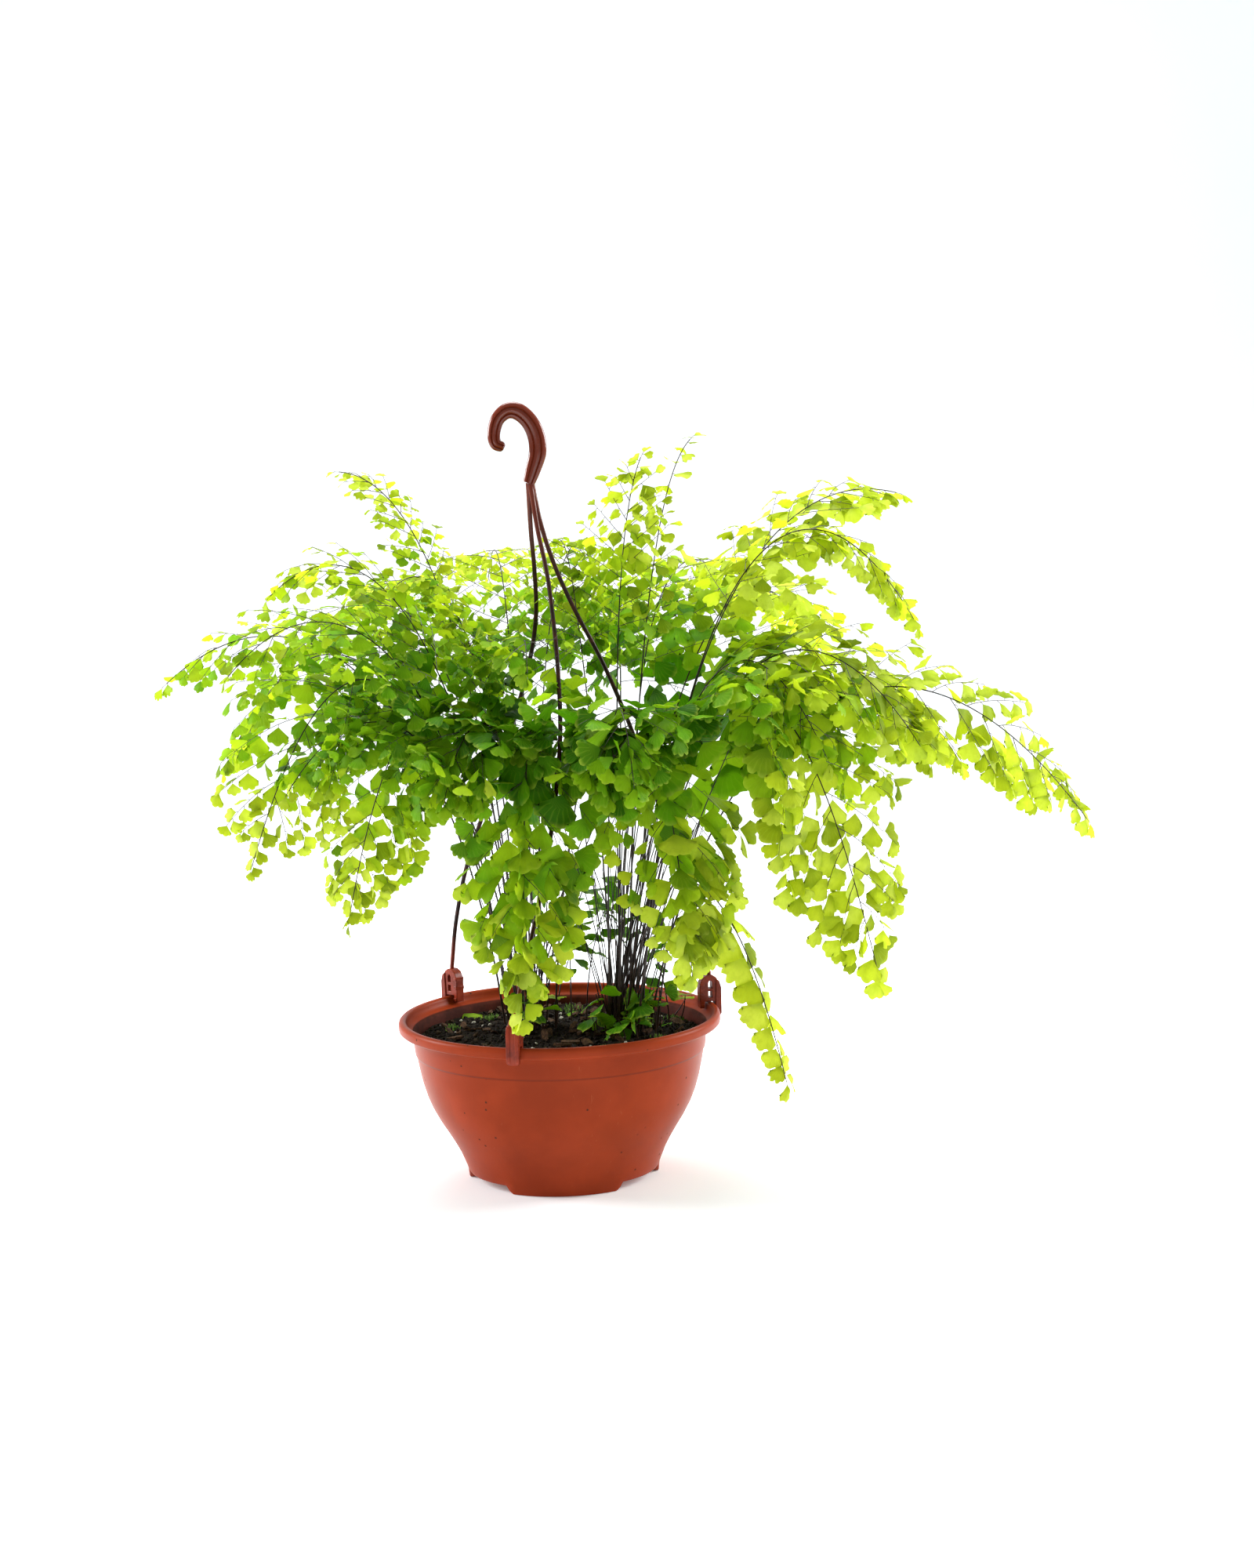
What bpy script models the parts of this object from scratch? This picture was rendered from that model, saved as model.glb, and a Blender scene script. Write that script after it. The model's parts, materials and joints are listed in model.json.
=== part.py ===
"""Maidenhair fern growing in a 21 cm moulded hanging bowl, with its three-legged hanger.

The bowl stands on its base at z = 0 with its axis on the origin. Metres, +Z up.
"""
import math
import random

import bmesh
import bpy
import numpy as np
from mathutils import Vector
from mathutils.bvhtree import BVHTree
from mathutils.geometry import tessellate_polygon

MM = 0.001
UP = np.array([0.0, 0.0, 1.0])
FIT = 0.35 * MM                     # running gap between pieces that touch

# the bowl: a bell-shaped wall under a rolled rim
RIM_RADIUS = 105 * MM
POT_HEIGHT = 106.4 * MM
WALL = 2.0 * MM
STEPS = 30
PHASE = math.radians(-6)            # so that a foot is centred at 30 degrees
OUTER_WALL = ((62.0, 5.0), (67.3, 18.5), (75.5, 33.0), (84.7, 49.0), (90.5, 66.0), (94.3, 84.0), (95.2, 96.0))
RIM_SECTION = ((103.2, 97.6), (105.0, 99.6), (105.0, 103.6), (103.4, 106.4), (101.2, 106.4), (99.7, 104.6))
FOOT_HEIGHT = 5 * MM
FOOT_INNER = 49 * MM
FOOT_SEGMENTS = 6                   # of the 10 in each third; the rest is a notch
SOIL_Z = 93 * MM

# the hanger
CLIP_ANGLES = (134, 254, 14)
CLIP_WIDTH = 8 * MM
CLIP_TOP = 124.5 * MM
LEG_RADIUS = 1.45 * MM
HOOK_PATH = ((-8.7, 452.5), (-5.9, 460.5), (-2.6, 471.5), (-3.1, 482), (-7.2, 491.5), (-14, 497.9), (-21, 498.7),
             (-27.2, 493.7), (-30, 485.1), (-29.2, 478.3), (-25.2, 475.9))
HOOK_HALF = (3.9, 4.9, 5.7, 5.7, 5.6, 5.6, 5.2, 4.6, 4.2, 4.0, 3.4)
HOOK_DEPTH = 3.9 * MM
LEG_AXES = (
    ((-9, 0, 452.5), (-8.5, 4, 422.5), (-7, 12, 395.3), (-7, 21, 366.3), (-12, 32, 335.3), (-24, 44, 294.6),
     (-41, 55, 246.1), (-58, 64, 197.7), (-67, 70, 158.9), (-71.2, 73.7, 126)),
    ((-8, 0, 452.5), (-4, -5, 422.5), (1, -13, 395.3), (4, -22, 366.3), (6, -33, 335.3), (6, -50, 294.6),
     (0, -67, 246.1), (-10, -82, 197.7), (-20, -92, 158.9), (-28.2, -98.5, 126)),
    ((-7, 0, 452.5), (-2, 1, 426.3), (6, 3, 399.2), (18, 6, 370.1), (35, 10, 335.3), (51, 14, 294.6),
     (67, 18, 246.1), (81, 21, 202.5), (92, 23, 158.9), (99.4, 24.8, 126)),
)

# the plant: two crowns of rhizome, each sending up arching fronds
CROWNS = {"left": (-18 * MM, 8 * MM), "right": (40 * MM, -6 * MM)}
ROOT_DEPTH = 8 * MM
STEP = 3 * MM
FROND_GAP = 5.0 * MM
PINNA_GAP = 3.6 * MM
BLADE = 0.8 * MM                    # thickness of a leaflet
# crown, azimuth, reach, peak height, tip height, half width of the blade, share of bare stalk, roll
FRONDS = (
    ("left", 171, 108, 462, 462, 26, 0.74, 20),
    ("left", 186, 152, 420, 384, 62, 0.60, 15),
    ("left", 205, 186, 388, 340, 74, 0.54, 25),
    ("left", 178, 216, 372, 326, 60, 0.52, 20),
    ("left", 205, 178, 340, 222, 80, 0.50, 50),
    ("left", 206, 120, 308, 180, 46, 0.58, 40),
    ("left", 160, 200, 352, 262, 76, 0.52, 20),
    ("left", 143, 180, 390, 320, 76, 0.52, 10),
    ("left", 121, 188, 400, 340, 70, 0.56, 0),
    ("left", 97, 168, 416, 375, 56, 0.58, 0),
    ("left", 243, 112, 318, 262, 56, 0.56, 20),
    ("left", 263, 112, 292, 130, 54, 0.46, 0),
    ("left", 284, 126, 318, 262, 46, 0.55, 0),
    ("left", 62, 92, 418, 406, 44, 0.64, 0),
    ("left", 222, 88, 408, 392, 50, 0.62, 10),
    ("left", 193, 166, 322, 270, 66, 0.52, 15),
    ("right", 30, 60, 468, 478, 8, 0.86, 0),
    ("right", 14, 186, 450, 436, 46, 0.66, -20),
    ("right", 358, 184, 436, 356, 18, 0.66, -20),
    ("right", 349, 198, 356, 272, 64, 0.54, -25),
    ("right", 356, 288, 324, 226, 56, 0.52, -35),
    ("right", 336, 168, 312, 142, 64, 0.52, -35),
    ("right", 297, 100, 286, 152, 56, 0.50, -10),
    ("right", 320, 138, 190, 78, 6, 0.46, -10),
    ("right", 12, 212, 338, 258, 72, 0.52, -15),
    ("right", 37, 190, 388, 325, 72, 0.54, -5),
    ("right", 62, 176, 408, 356, 62, 0.57, 0),
    ("right", 88, 188, 385, 322, 66, 0.57, 0),
    ("right", 286, 124, 330, 276, 52, 0.56, 0),
    ("right", 326, 146, 352, 278, 62, 0.56, -20),
    ("right", 50, 36, 458, 468, 44, 0.70, -10),
    ("right", 112, 74, 418, 410, 44, 0.66, 0),
    ("right", 22, 150, 312, 238, 66, 0.52, -10),
    ("left", 276, 96, 372, 338, 50, 0.62, 0),
)


# ---------------------------------------------------------------- how the fern grows

def unit(vector):
    return vector / np.linalg.norm(vector)


def smooth(points, cuts):
    """Catmull-Rom curve through the given points."""
    p = np.concatenate([[2 * points[0] - points[1]], points, [2 * points[-1] - points[-2]]])
    t = np.arange(cuts)[:, None] / cuts
    out = []
    for a, b, c, d in zip(p, p[1:], p[2:], p[3:]):
        square, cube = 2 * a - 5 * b + 4 * c - d, 3 * b - a - 3 * c + d
        out.append(0.5 * (2 * b + (c - a) * t + square * t * t + cube * t**3))
    return np.concatenate(out + [points[-1:]])


def lengths(points):
    run = np.linalg.norm(np.diff(points, axis=0), axis=1)
    return np.concatenate([[0.0], np.cumsum(run)])


def point_at(points, share):
    at = lengths(points)
    return np.array([np.interp(share * at[-1], at, points[:, k]) for k in range(3)])


def resample(points, step):
    at = lengths(points)
    where = np.linspace(0, at[-1], max(2, int(round(at[-1] / step)) + 1))
    return np.stack([np.interp(where, at, points[:, k]) for k in range(3)], 1)


def nearest(points, others):
    if not len(others):
        return 1.0
    low, high = points.min(0) - 0.02, points.max(0) + 0.02
    near = others[((others > low) & (others < high)).all(1)]
    if not len(near):
        return 0.02
    gap = points[:, None, :] - near[None, :, :]
    return math.sqrt((gap * gap).sum(-1).min())


def main_rib(root, azimuth, reach, peak, tip, sway):
    """A stalk that rises from its crown, arches over at the peak and comes down to its tip."""
    out = np.array([math.cos(azimuth), math.sin(azimuth), 0.0])
    side = np.cross(UP, out)
    p1 = root + out * reach * 0.09 + UP * (peak - root[2]) * 0.72
    p2 = root + out * reach * 0.52 + UP * (peak - root[2] + 1.05 * (peak - tip))
    p3 = root + out * reach + UP * (tip - root[2])
    t = np.linspace(0, 1, 60)[:, None]
    s = 1 - t
    curve = s**3 * root + 3 * s * s * t * p1 + 3 * s * t * t * p2 + t**3 * p3
    return resample(curve + side * sway * np.sin(math.pi * t) ** 2, STEP)


def frame_at(points, share, azimuth, roll):
    """Point, tangent, side and face normal of a rib at a share of its length."""
    tangent = unit(point_at(points, min(1, share + 0.02)) - point_at(points, max(0, share - 0.02)))
    side = np.array([math.sin(azimuth), -math.cos(azimuth), 0.0])
    side = unit(side - tangent * (side @ tangent))
    normal = np.cross(side, tangent)
    side, normal = (math.cos(roll) * side + math.sin(roll) * normal,
                    math.cos(roll) * normal - math.sin(roll) * side)
    return point_at(points, share), tangent, side, normal


def side_rib(base, tangent, side, length, angle, droop):
    """A side branch: it leaves at an angle, curls a little forward and hangs."""
    t = np.linspace(0, 1, 12)[:, None]
    go = (math.cos(angle) * tangent + math.sin(angle) * side) * length * t
    return resample(base + go + (0.20 * tangent - droop * UP) * length * t * t, STEP)


def grow_fronds():
    """Main ribs first, each clear of the rest, and then their side branches."""
    rng = random.Random(7)
    legs = [resample(smooth(np.array(axis, float) * MM, 8), STEP) for axis in LEG_AXES]
    taken = np.concatenate(legs)
    fronds = []
    for index, (crown, azimuth, reach, peak, tip, half, stalk, roll) in enumerate(FRONDS):
        cx, cy = CROWNS[crown]
        out = (4 + 13 * min(1.0, reach / 260)) * MM
        best = None
        for attempt in range(70):
            turn = math.radians(azimuth + (attempt + 1) // 4 * 1.6 * (-1) ** attempt)
            wide = out * (1 + 0.6 * rng.uniform(-1, 1) * (attempt > 0))
            swing = turn + rng.uniform(-0.9, 0.9) * (attempt > 0)
            root = np.array([cx + wide * math.cos(swing), cy + wide * math.sin(swing), SOIL_Z - ROOT_DEPTH])
            rib = main_rib(root, turn, reach * MM, peak * MM, tip * MM, rng.uniform(-9, 9) * MM)
            gap = nearest(rib, taken)
            if best is None or gap > best[0]:
                best = (gap, rib, turn)
            if gap > FROND_GAP:
                break
        taken = np.concatenate([taken, best[1]])
        fronds.append(dict(name="frond_%02d" % (index + 1), azimuth=best[2], rib=best[1], gap=best[0],
                           half=half * MM, stalk=stalk, roll=math.radians(roll), branches=[]))
    for frond in fronds:
        blade = lengths(frond["rib"])[-1] * (1 - frond["stalk"])
        pairs = 3 if blade < 105 * MM else 4 if blade < 240 * MM else 5
        hand = rng.choice((-1, 1))
        near = []
        others = np.concatenate(legs + [f["rib"] for f in fronds if f is not frond])
        for j in range(4 * pairs):
            u = (j + 0.4) / (4 * pairs)
            share = frond["stalk"] + (1 - frond["stalk"]) * u * 0.86
            base, tangent, side, normal = frame_at(frond["rib"], share, frond["azimuth"], frond["roll"])
            sign = hand * (-1) ** j
            length = frond["half"] * (1 - u) ** 0.7 * rng.uniform(0.9, 1.1) + 10 * MM
            solid = j % 4 == (j // 4) % 2
            best = None
            for attempt in range(12 if solid else 1):
                angle = math.radians(66 - 22 * u + rng.uniform(-6, 6) * (1 + 0.2 * attempt))
                droop = 0.08 + 0.30 * rng.random() + 0.04 * attempt * rng.random()
                rib = side_rib(base, tangent, side * sign, length, angle, droop)
                if not solid:
                    best = (1.0, rib)
                    break
                gap = min(nearest(rib, others), nearest(rib, taken_branches(fronds, frond)))
                if best is None or gap > best[0]:
                    best = (gap, rib)
                if gap > PINNA_GAP:
                    break
            frond["branches"].append(dict(rib=best[1], gap=best[0], sign=sign, u=u, share=share,
                                          normal=normal, solid=solid and best[0] > 2.8 * MM))
    return fronds


def taken_branches(fronds, frond):
    own = [b["rib"] for f in fronds if f is not frond for b in f["branches"] if b["solid"]]
    return np.concatenate(own) if own else np.zeros((0, 3))


# ---------------------------------------------------------------- modelling helpers

def clear_scene():
    for item in list(bpy.data.objects):
        bpy.data.objects.remove(item, do_unlink=True)


def finish(name, color, roughness, metallic=0.0):
    material = bpy.data.materials.new(name)
    material.use_nodes = True
    shader = material.node_tree.nodes["Principled BSDF"]
    shader.inputs["Base Color"].default_value = (*color, 1)
    shader.inputs["Roughness"].default_value = roughness
    shader.inputs["Metallic"].default_value = metallic
    return material


def add_object(name, mesh, material=None):
    item = bpy.data.objects.new(name, mesh)
    bpy.context.collection.objects.link(item)
    if material:
        mesh.materials.append(material)
    else:
        item.hide_render = True
        item.display_type = "WIRE"
    return item


def mesh_from(bm, name):
    bmesh.ops.recalc_face_normals(bm, faces=bm.faces[:])
    mesh = bpy.data.meshes.new(name)
    bm.to_mesh(mesh)
    bm.free()
    return mesh


def combine(item, tool, operation):
    cut = item.modifiers.new(tool.name, "BOOLEAN")
    cut.operation = operation
    cut.object = tool
    cut.solver = "EXACT"


def turned(bm, profile, steps=STEPS):
    """Rings of the (radius, height) profile about the Z axis, closed at both ends."""
    rings = []
    for radius, height in profile:
        angles = [PHASE + 2 * math.pi * k / steps for k in range(steps)]
        rings.append([bm.verts.new((radius * math.cos(a), radius * math.sin(a), height)) for a in angles])
    for low, high in zip(rings, rings[1:]):
        for k in range(steps):
            m = (k + 1) % steps
            bm.faces.new((low[k], low[m], high[m], high[k]))
    bm.faces.new(rings[0][::-1])
    bm.faces.new(rings[-1])
    return rings


def swept(bm, path, sections):
    """A closed tube whose section at each path point is a list of points."""
    rings = [[bm.verts.new(p) for p in ring] for ring in sections]
    count = len(rings[0])
    for low, high in zip(rings, rings[1:]):
        for k in range(count):
            m = (k + 1) % count
            bm.faces.new((low[k], low[m], high[m], high[k]))
    bm.faces.new(rings[0][::-1])
    bm.faces.new(rings[-1])
    return rings


# ---------------------------------------------------------------- the bowl and its soil

def inner_wall(extra):
    """Profile of the inside, top to bottom, set back from the outer wall by the wall and a gap."""
    points = [(99.3 * MM - extra, 101.5 * MM)]
    for radius, height in OUTER_WALL[::-1]:
        points.append((radius * MM - WALL - extra, max(height * MM, FOOT_HEIGHT + WALL) + 0.4 * MM))
    points[-1] = (points[-1][0] - 0.4 * MM, FOOT_HEIGHT + WALL + extra)
    return points


def make_pot():
    bm = bmesh.new()
    outside = [(r * MM, z * MM) for r, z in OUTER_WALL + RIM_SECTION]
    profile = [(FOOT_INNER, FOOT_HEIGHT)] + outside + inner_wall(0)
    rings = turned(bm, profile)
    base = [f for f in bm.faces if len(f.verts) == STEPS and f.calc_center_median().z < FOOT_HEIGHT + 1 * MM]
    third = STEPS // 3
    for k in range(STEPS):
        # feet are centred at 30, 150 and 270 degrees
        if k % third < FOOT_SEGMENTS:
            m = (k + 1) % STEPS
            corners = {rings[0][k], rings[0][m], rings[1][m], rings[1][k]}
            base += [f for f in rings[0][k].link_faces if set(f.verts) == corners]
    moved = bmesh.ops.extrude_face_region(bm, geom=base)["geom"]
    down = [v for v in moved if isinstance(v, bmesh.types.BMVert)]
    bmesh.ops.delete(bm, geom=base, context="FACES")
    bmesh.ops.translate(bm, verts=down, vec=(0, 0, -FOOT_HEIGHT))
    mesh = mesh_from(bm, "pot")
    mesh.shade_smooth()
    return add_object("pot", mesh, finish("terracotta plastic", (0.50, 0.10, 0.035), 0.38))


def make_soil(fronds):
    bm = bmesh.new()
    wall = [p for p in inner_wall(FIT) if p[1] < SOIL_Z - 4 * MM][::-1]
    at = SOIL_Z - 2 * MM
    wall.append((93.1 * MM - FIT, at))
    turned(bm, wall + [(80 * MM, SOIL_Z + 1.5 * MM), (70 * MM, SOIL_Z)])
    for vert in bm.verts:
        radius = math.hypot(vert.co.x, vert.co.y)
        if 75 * MM < radius < 85 * MM and vert.co.z > SOIL_Z:
            vert.co.z += 1.6 * MM * math.sin(5 * math.atan2(vert.co.y, vert.co.x))
    soil = add_object("soil", mesh_from(bm, "soil"), finish("potting soil", (0.035, 0.022, 0.015), 0.95))
    bm = bmesh.new()
    for frond in fronds:
        root, tangent, side, normal = frame_at(frond["rib"], 0, frond["azimuth"], frond["roll"])
        ring = stem_ring(root - UP * 0.4 * MM, side, normal, STALK_RADIUS + 0.6 * MM, tangent)
        high = point_at(frond["rib"], (ROOT_DEPTH + 4 * MM) / lengths(frond["rib"])[-1])
        top = stem_ring(high, side, normal, STALK_RADIUS + 0.6 * MM, tangent)
        swept(bm, None, [ring, top])
    holes = add_object("soil_holes", mesh_from(bm, "soil_holes"))
    combine(soil, holes, "DIFFERENCE")
    return soil


# ---------------------------------------------------------------- the hanger

def clip_outline():
    """The clip in its radial plane: (radius, height) points around an arch over the rim."""
    inside, outside = 98.2, 105.0 + 0.4
    return [(inside - 3.0, 102.5), (inside, 102.5), (inside, 106.8), (outside, 106.8), (outside, 99.4),
            (103.6, 97.0), (103.6, 95.2), (outside + 2.8, 95.0), (outside + 3.5, 99.0),
            (outside + 3.4, 117.0), (outside + 1.4, 122.0),
            (103.6, 124.5), (100.4, 124.5), (inside - 1.4, 122.0), (inside - 3.2, 117.0)]


def make_clip(bm, angle):
    spin = math.radians(angle)
    out, across = Vector((math.cos(spin), math.sin(spin), 0)), Vector((-math.sin(spin), math.cos(spin), 0))
    half = CLIP_WIDTH / 2

    def spot(point, side):
        return out * point[0] * MM + across * side * half + Vector((0, 0, point[1] * MM))

    outline = clip_outline()
    slots = [[(101.1, 109.2), (103.6, 109.2), (103.6, 113.8), (101.1, 113.8)],
             [(101.1, 115.6), (103.6, 115.6), (103.6, 120.4), (101.1, 120.4)]]
    loops = [outline] + slots
    flat = [p for loop in loops for p in loop]
    near, far = [bm.verts.new(spot(p, -1)) for p in flat], [bm.verts.new(spot(p, 1)) for p in flat]
    start = 0
    for loop in loops:
        for k in range(len(loop)):
            a, b = start + k, start + (k + 1) % len(loop)
            bm.faces.new((near[a], near[b], far[b], far[a]))
        start += len(loop)
    for tri in tessellate_polygon([[Vector((r, z, 0)) for r, z in loop] for loop in loops]):
        bm.faces.new([near[i] for i in tri])
        bm.faces.new([far[i] for i in tri])


def ring_about(center, tangent, radius, count, start=0.0):
    side = unit(np.cross(tangent, np.array([0.0, 1.0, 0.0]) if abs(tangent[1]) < 0.9 else UP))
    other = np.cross(tangent, side)
    angles = [start + 2 * math.pi * k / count for k in range(count)]
    return [center + radius * (math.cos(a) * side + math.sin(a) * other) for a in angles]


def make_leg(axis):
    bm = bmesh.new()
    path = smooth(np.array(axis, float) * MM, 8)
    count = 13
    points = np.array([point_at(path, k / count) for k in range(count + 1)])
    points[-1, 2] -= 3 * MM
    rings = []
    for k, point in enumerate(points):
        tangent = unit(points[min(k + 1, count)] - points[max(k - 1, 0)])
        rings.append(ring_about(point, tangent, LEG_RADIUS * (1.25 - 0.25 * min(1, k / 4)), 6))
    swept(bm, None, rings)
    return bm


def make_hanger():
    bm = bmesh.new()
    path = smooth(np.array([(x, 0, z) for x, z in HOOK_PATH], float) * MM, 4)
    halves = np.interp(np.linspace(0, 1, len(path)), np.linspace(0, 1, len(HOOK_HALF)), HOOK_HALF) * MM
    # section: two rolled edges with a groove along each face between them
    section = ((1.0, 0.35), (0.72, 1.0), (0.25, 0.62), (-0.25, 0.62), (-0.72, 1.0), (-1.0, 0.35))
    section += tuple((x, -y) for x, y in section[::-1])
    rings = []
    keep = list(range(0, len(path), 2))
    for k in keep:
        tangent = unit(path[min(k + 1, len(path) - 1)] - path[max(k - 1, 0)])
        side = np.cross(tangent, np.array([0.0, 1.0, 0.0]))
        depth = HOOK_DEPTH * (0.82 + 0.18 * min(1, k / 8))
        rings.append([path[k] + side * x * halves[k] + np.array([0, y * depth, 0]) for x, y in section])
    swept(bm, None, rings)
    hanger = add_object("hanger", mesh_from(bm, "hanger"), finish("brown plastic", (0.10, 0.028, 0.018), 0.28))
    for index, (axis, angle) in enumerate(zip(LEG_AXES, CLIP_ANGLES)):
        leg = add_object("leg_%d" % index, mesh_from(make_leg(axis), "leg_%d" % index))
        combine(hanger, leg, "UNION")
        bm = bmesh.new()
        make_clip(bm, angle)
        clip = add_object("clip_%d" % index, mesh_from(bm, "clip_%d" % index))
        combine(hanger, clip, "UNION")
    return hanger


# ---------------------------------------------------------------- the fronds

STALK_RADIUS = 1.15 * MM
TIP_RADIUS = 0.8 * MM


def stem_ring(center, side, normal, radius, tangent):
    """Three corners: lower left, lower right and the ridge on top."""
    return [center - 0.87 * radius * side - 0.5 * radius * normal,
            center + 0.87 * radius * side - 0.5 * radius * normal, center + radius * normal]


class Frond:
    """One closed mesh, grown face by face: a three-sided rib with cut blades on its side faces."""

    def __init__(self, plan):
        self.plan = plan
        self.points, self.faces = [], []
        self.seed = 0

    def add(self, point):
        self.points.append(np.asarray(point, float))
        return len(self.points) - 1

    def quad(self, a, b, c, d):
        self.faces += [(a, b, c), (a, c, d)]

    def lay_out(self, blocked):
        """Shares of the main rib where the mesh has a section, and where branches leave it."""
        plan = self.plan
        rib, stalk = plan["rib"], plan["stalk"]
        total = lengths(rib)[-1]
        half = 1.0 * MM / total
        marks = [(part * stalk, None) for part in (0.0, 0.16, 0.38, 0.58, 0.76, 0.92)]
        last = marks[-1][0]
        for branch in plan["branches"]:
            if branch["solid"] and branch["share"] - half > last + 2 * half:
                marks += [(branch["share"] - half, branch), (branch["share"] + half, None)]
                last = branch["share"] + half
            else:
                branch["solid"] = False
        end = stalk + (1 - stalk) * 0.88
        if end > last + 3 * half:
            marks.append((end, None))
        self.marks = marks
        blocked.add_rod(np.array([point_at(rib, share) for share, _ in marks]), STALK_RADIUS, (plan["name"], "rib"))

    def lay_branches(self, blocked):
        """Side branches and the tip, kept where their ribs clear the other fronds."""
        plan, rib = self.plan, self.plan["rib"]
        share = self.marks[-1][0] + 3 * MM / lengths(rib)[-1]
        normal = frame_at(rib, min(1, share), plan["azimuth"], plan["roll"])[3]
        tail = rib[max(0, int(round(share * (len(rib) - 1)))):]
        if len(tail) < 4:
            center, tangent = frame_at(rib, min(1, share), plan["azimuth"], 0)[:2]
            tail = np.array([center, center + tangent * 5 * MM, center + tangent * 10 * MM])
        self.tip = dict(rib=tail, sign=1, normal=normal, tip=True, solid=True)
        for branch in [b for b in plan["branches"] if b["solid"]] + [self.tip]:
            rib = branch["rib"]
            long = lengths(rib)[-1]
            count = 3 if long > 86 * MM else 2 if long > 42 * MM or (branch is self.tip and long > 20 * MM) else 1
            lead = 0.12 if branch is self.tip and long > 20 * MM else 0.30
            branch["stations"] = [lead + (0.92 - lead) * k / count for k in range(count)]
            line = np.array([point_at(rib, share) for share in [0.0, *branch["stations"], 1.0]])
            if branch is self.tip:
                line = np.concatenate([[point_at(plan["rib"], self.marks[-1][0])], line])
            else:
                line[0] += unit(line[1] - line[0]) * 1.5 * MM
            branch["owner"] = (plan["name"], round(long * 1e6))
            branch["solid"] = blocked.rod_free(line, 1.0 * MM, plan["name"])
            if branch["solid"]:
                blocked.add_rod(line, 0.9 * MM, branch["owner"])

    def build(self, blocked):
        plan = self.plan
        rib, azimuth, roll = plan["rib"], plan["azimuth"], plan["roll"]
        total = lengths(rib)[-1]
        marks = self.marks
        rings = []
        for share, branch in marks:
            radius = STALK_RADIUS + (TIP_RADIUS - STALK_RADIUS) * share
            center, tangent, side, normal = frame_at(rib, share, azimuth, roll)
            rings.append([self.add(p) for p in stem_ring(center, side, normal, radius, tangent)])
        first = rings[0]
        self.faces.append((first[0], first[1], first[2]))
        plates = []
        for (share, branch), low, high in zip(marks, rings, rings[1:]):
            for k in range(3):
                m = (k + 1) % 3
                holds = branch and branch["solid"] and k == (1 if branch["sign"] > 0 else 2)
                if not holds:
                    self.quad(low[k], high[k], high[m], low[m])
                elif branch["sign"] > 0:
                    # low right corner and ridge: left row lies ahead
                    plates.append((branch, (high[2], high[1]), (low[2], low[1])))
                else:
                    plates.append((branch, (low[2], low[0]), (high[2], high[0])))
        center, tangent, side, normal = frame_at(rib, min(1, marks[-1][0] + 3 * MM / total), azimuth, roll)
        row = TIP_RADIUS * 0.8
        spots = [center + s * row * side + h * BLADE / 2 * normal for s, h in ((-1, 1), (-1, -1), (1, 1), (1, -1))]
        left_top, left_low, right_top, right_low = [self.add(p) for p in spots]
        a, b, c = rings[-1]
        self.quad(a, left_low, right_low, b)
        self.quad(b, right_low, right_top, c)
        self.quad(c, left_top, left_low, a)
        self.faces.append((c, right_top, left_top))
        if self.tip["solid"]:
            # seen along the rib the left row is on the minus side
            plates.append((self.tip, (left_top, left_low), (right_top, right_low)))
        else:
            self.quad(left_top, right_top, right_low, left_low)
        for branch, left, right in plates:
            self.plate(branch, left, right, blocked)

    def plate(self, branch, left, right, blocked):
        """A side branch with its leaflets: an outline cut alike from both faces, and its edges."""
        rib = branch["rib"]
        long = lengths(rib)[-1]
        tip = branch.get("tip")
        rng = random.Random(int(long * 1e6) % 9973 + 101 * self.seed)
        size = min(30, 17 + 0.22 * long / MM) * MM * (1.0 if not tip else 1.05)
        width = 0.7 * MM
        hand = rng.choice((-1, 1))
        leaves = []
        for index, s in enumerate(branch["stations"]):
            sign = hand * (-1) ** index
            leaf = self.fit_leaflet(rib, s, sign, size * rng.uniform(0.88, 1.08), branch, blocked, rng, False)
            if leaf:
                leaves.append(leaf)
        for sharp in (1.0, 0.8, 0.6):
            last = self.fit_leaflet(rib, 1.0, 0, size * sharp, branch, blocked, rng, True)
            if last:
                break
        rows = {1: [(0.0, left)], -1: [(0.0, right)]}
        for leaf in leaves:
            for share in (leaf["from"], leaf["to"]):
                rows[leaf["sign"]].append((share, self.rib_corner(branch, share, leaf["sign"] * width)))
            share = (leaf["from"] + leaf["to"]) / 2
            rows[-leaf["sign"]].append((share, self.rib_corner(branch, share, -leaf["sign"] * width)))
        for sign in rows:
            rows[sign].append((1.0, self.rib_corner(branch, 1.0, sign * width)))
        # the rib itself, as a strip of triangles between its two rows
        ahead, behind = rows[1], rows[-1]
        i = j = 0
        while i < len(ahead) - 1 or j < len(behind) - 1:
            if j == len(behind) - 1 or (i < len(ahead) - 1 and ahead[i + 1][0] < behind[j + 1][0]):
                self.both((behind[j][1], ahead[i + 1][1], ahead[i][1]))
                i += 1
            else:
                self.both((behind[j][1], behind[j + 1][1], ahead[i][1]))
                j += 1
        # leaflets and the bare edges between them
        for sign, row in rows.items():
            held = {leaf["from"]: leaf for leaf in leaves if leaf["sign"] == sign}
            for (share, near), (_, far) in zip(row, row[1:]):
                if share in held:
                    self.leaf_faces(held[share], near, far, sign)
                elif sign < 0:
                    self.quad(near[0], near[1], far[1], far[0])
                else:
                    self.quad(far[0], far[1], near[1], near[0])
        if last:
            self.leaf_faces(last, behind[-1][1], ahead[-1][1], -1)
        else:
            self.quad(behind[-1][1][0], behind[-1][1][1], ahead[-1][1][1], ahead[-1][1][0])

    def rib_corner(self, branch, share, offset):
        center, tangent, side, normal = self.rib_frame(branch, share)
        spot = center + side * offset
        return self.add(spot + normal * BLADE / 2), self.add(spot - normal * BLADE / 2)

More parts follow.
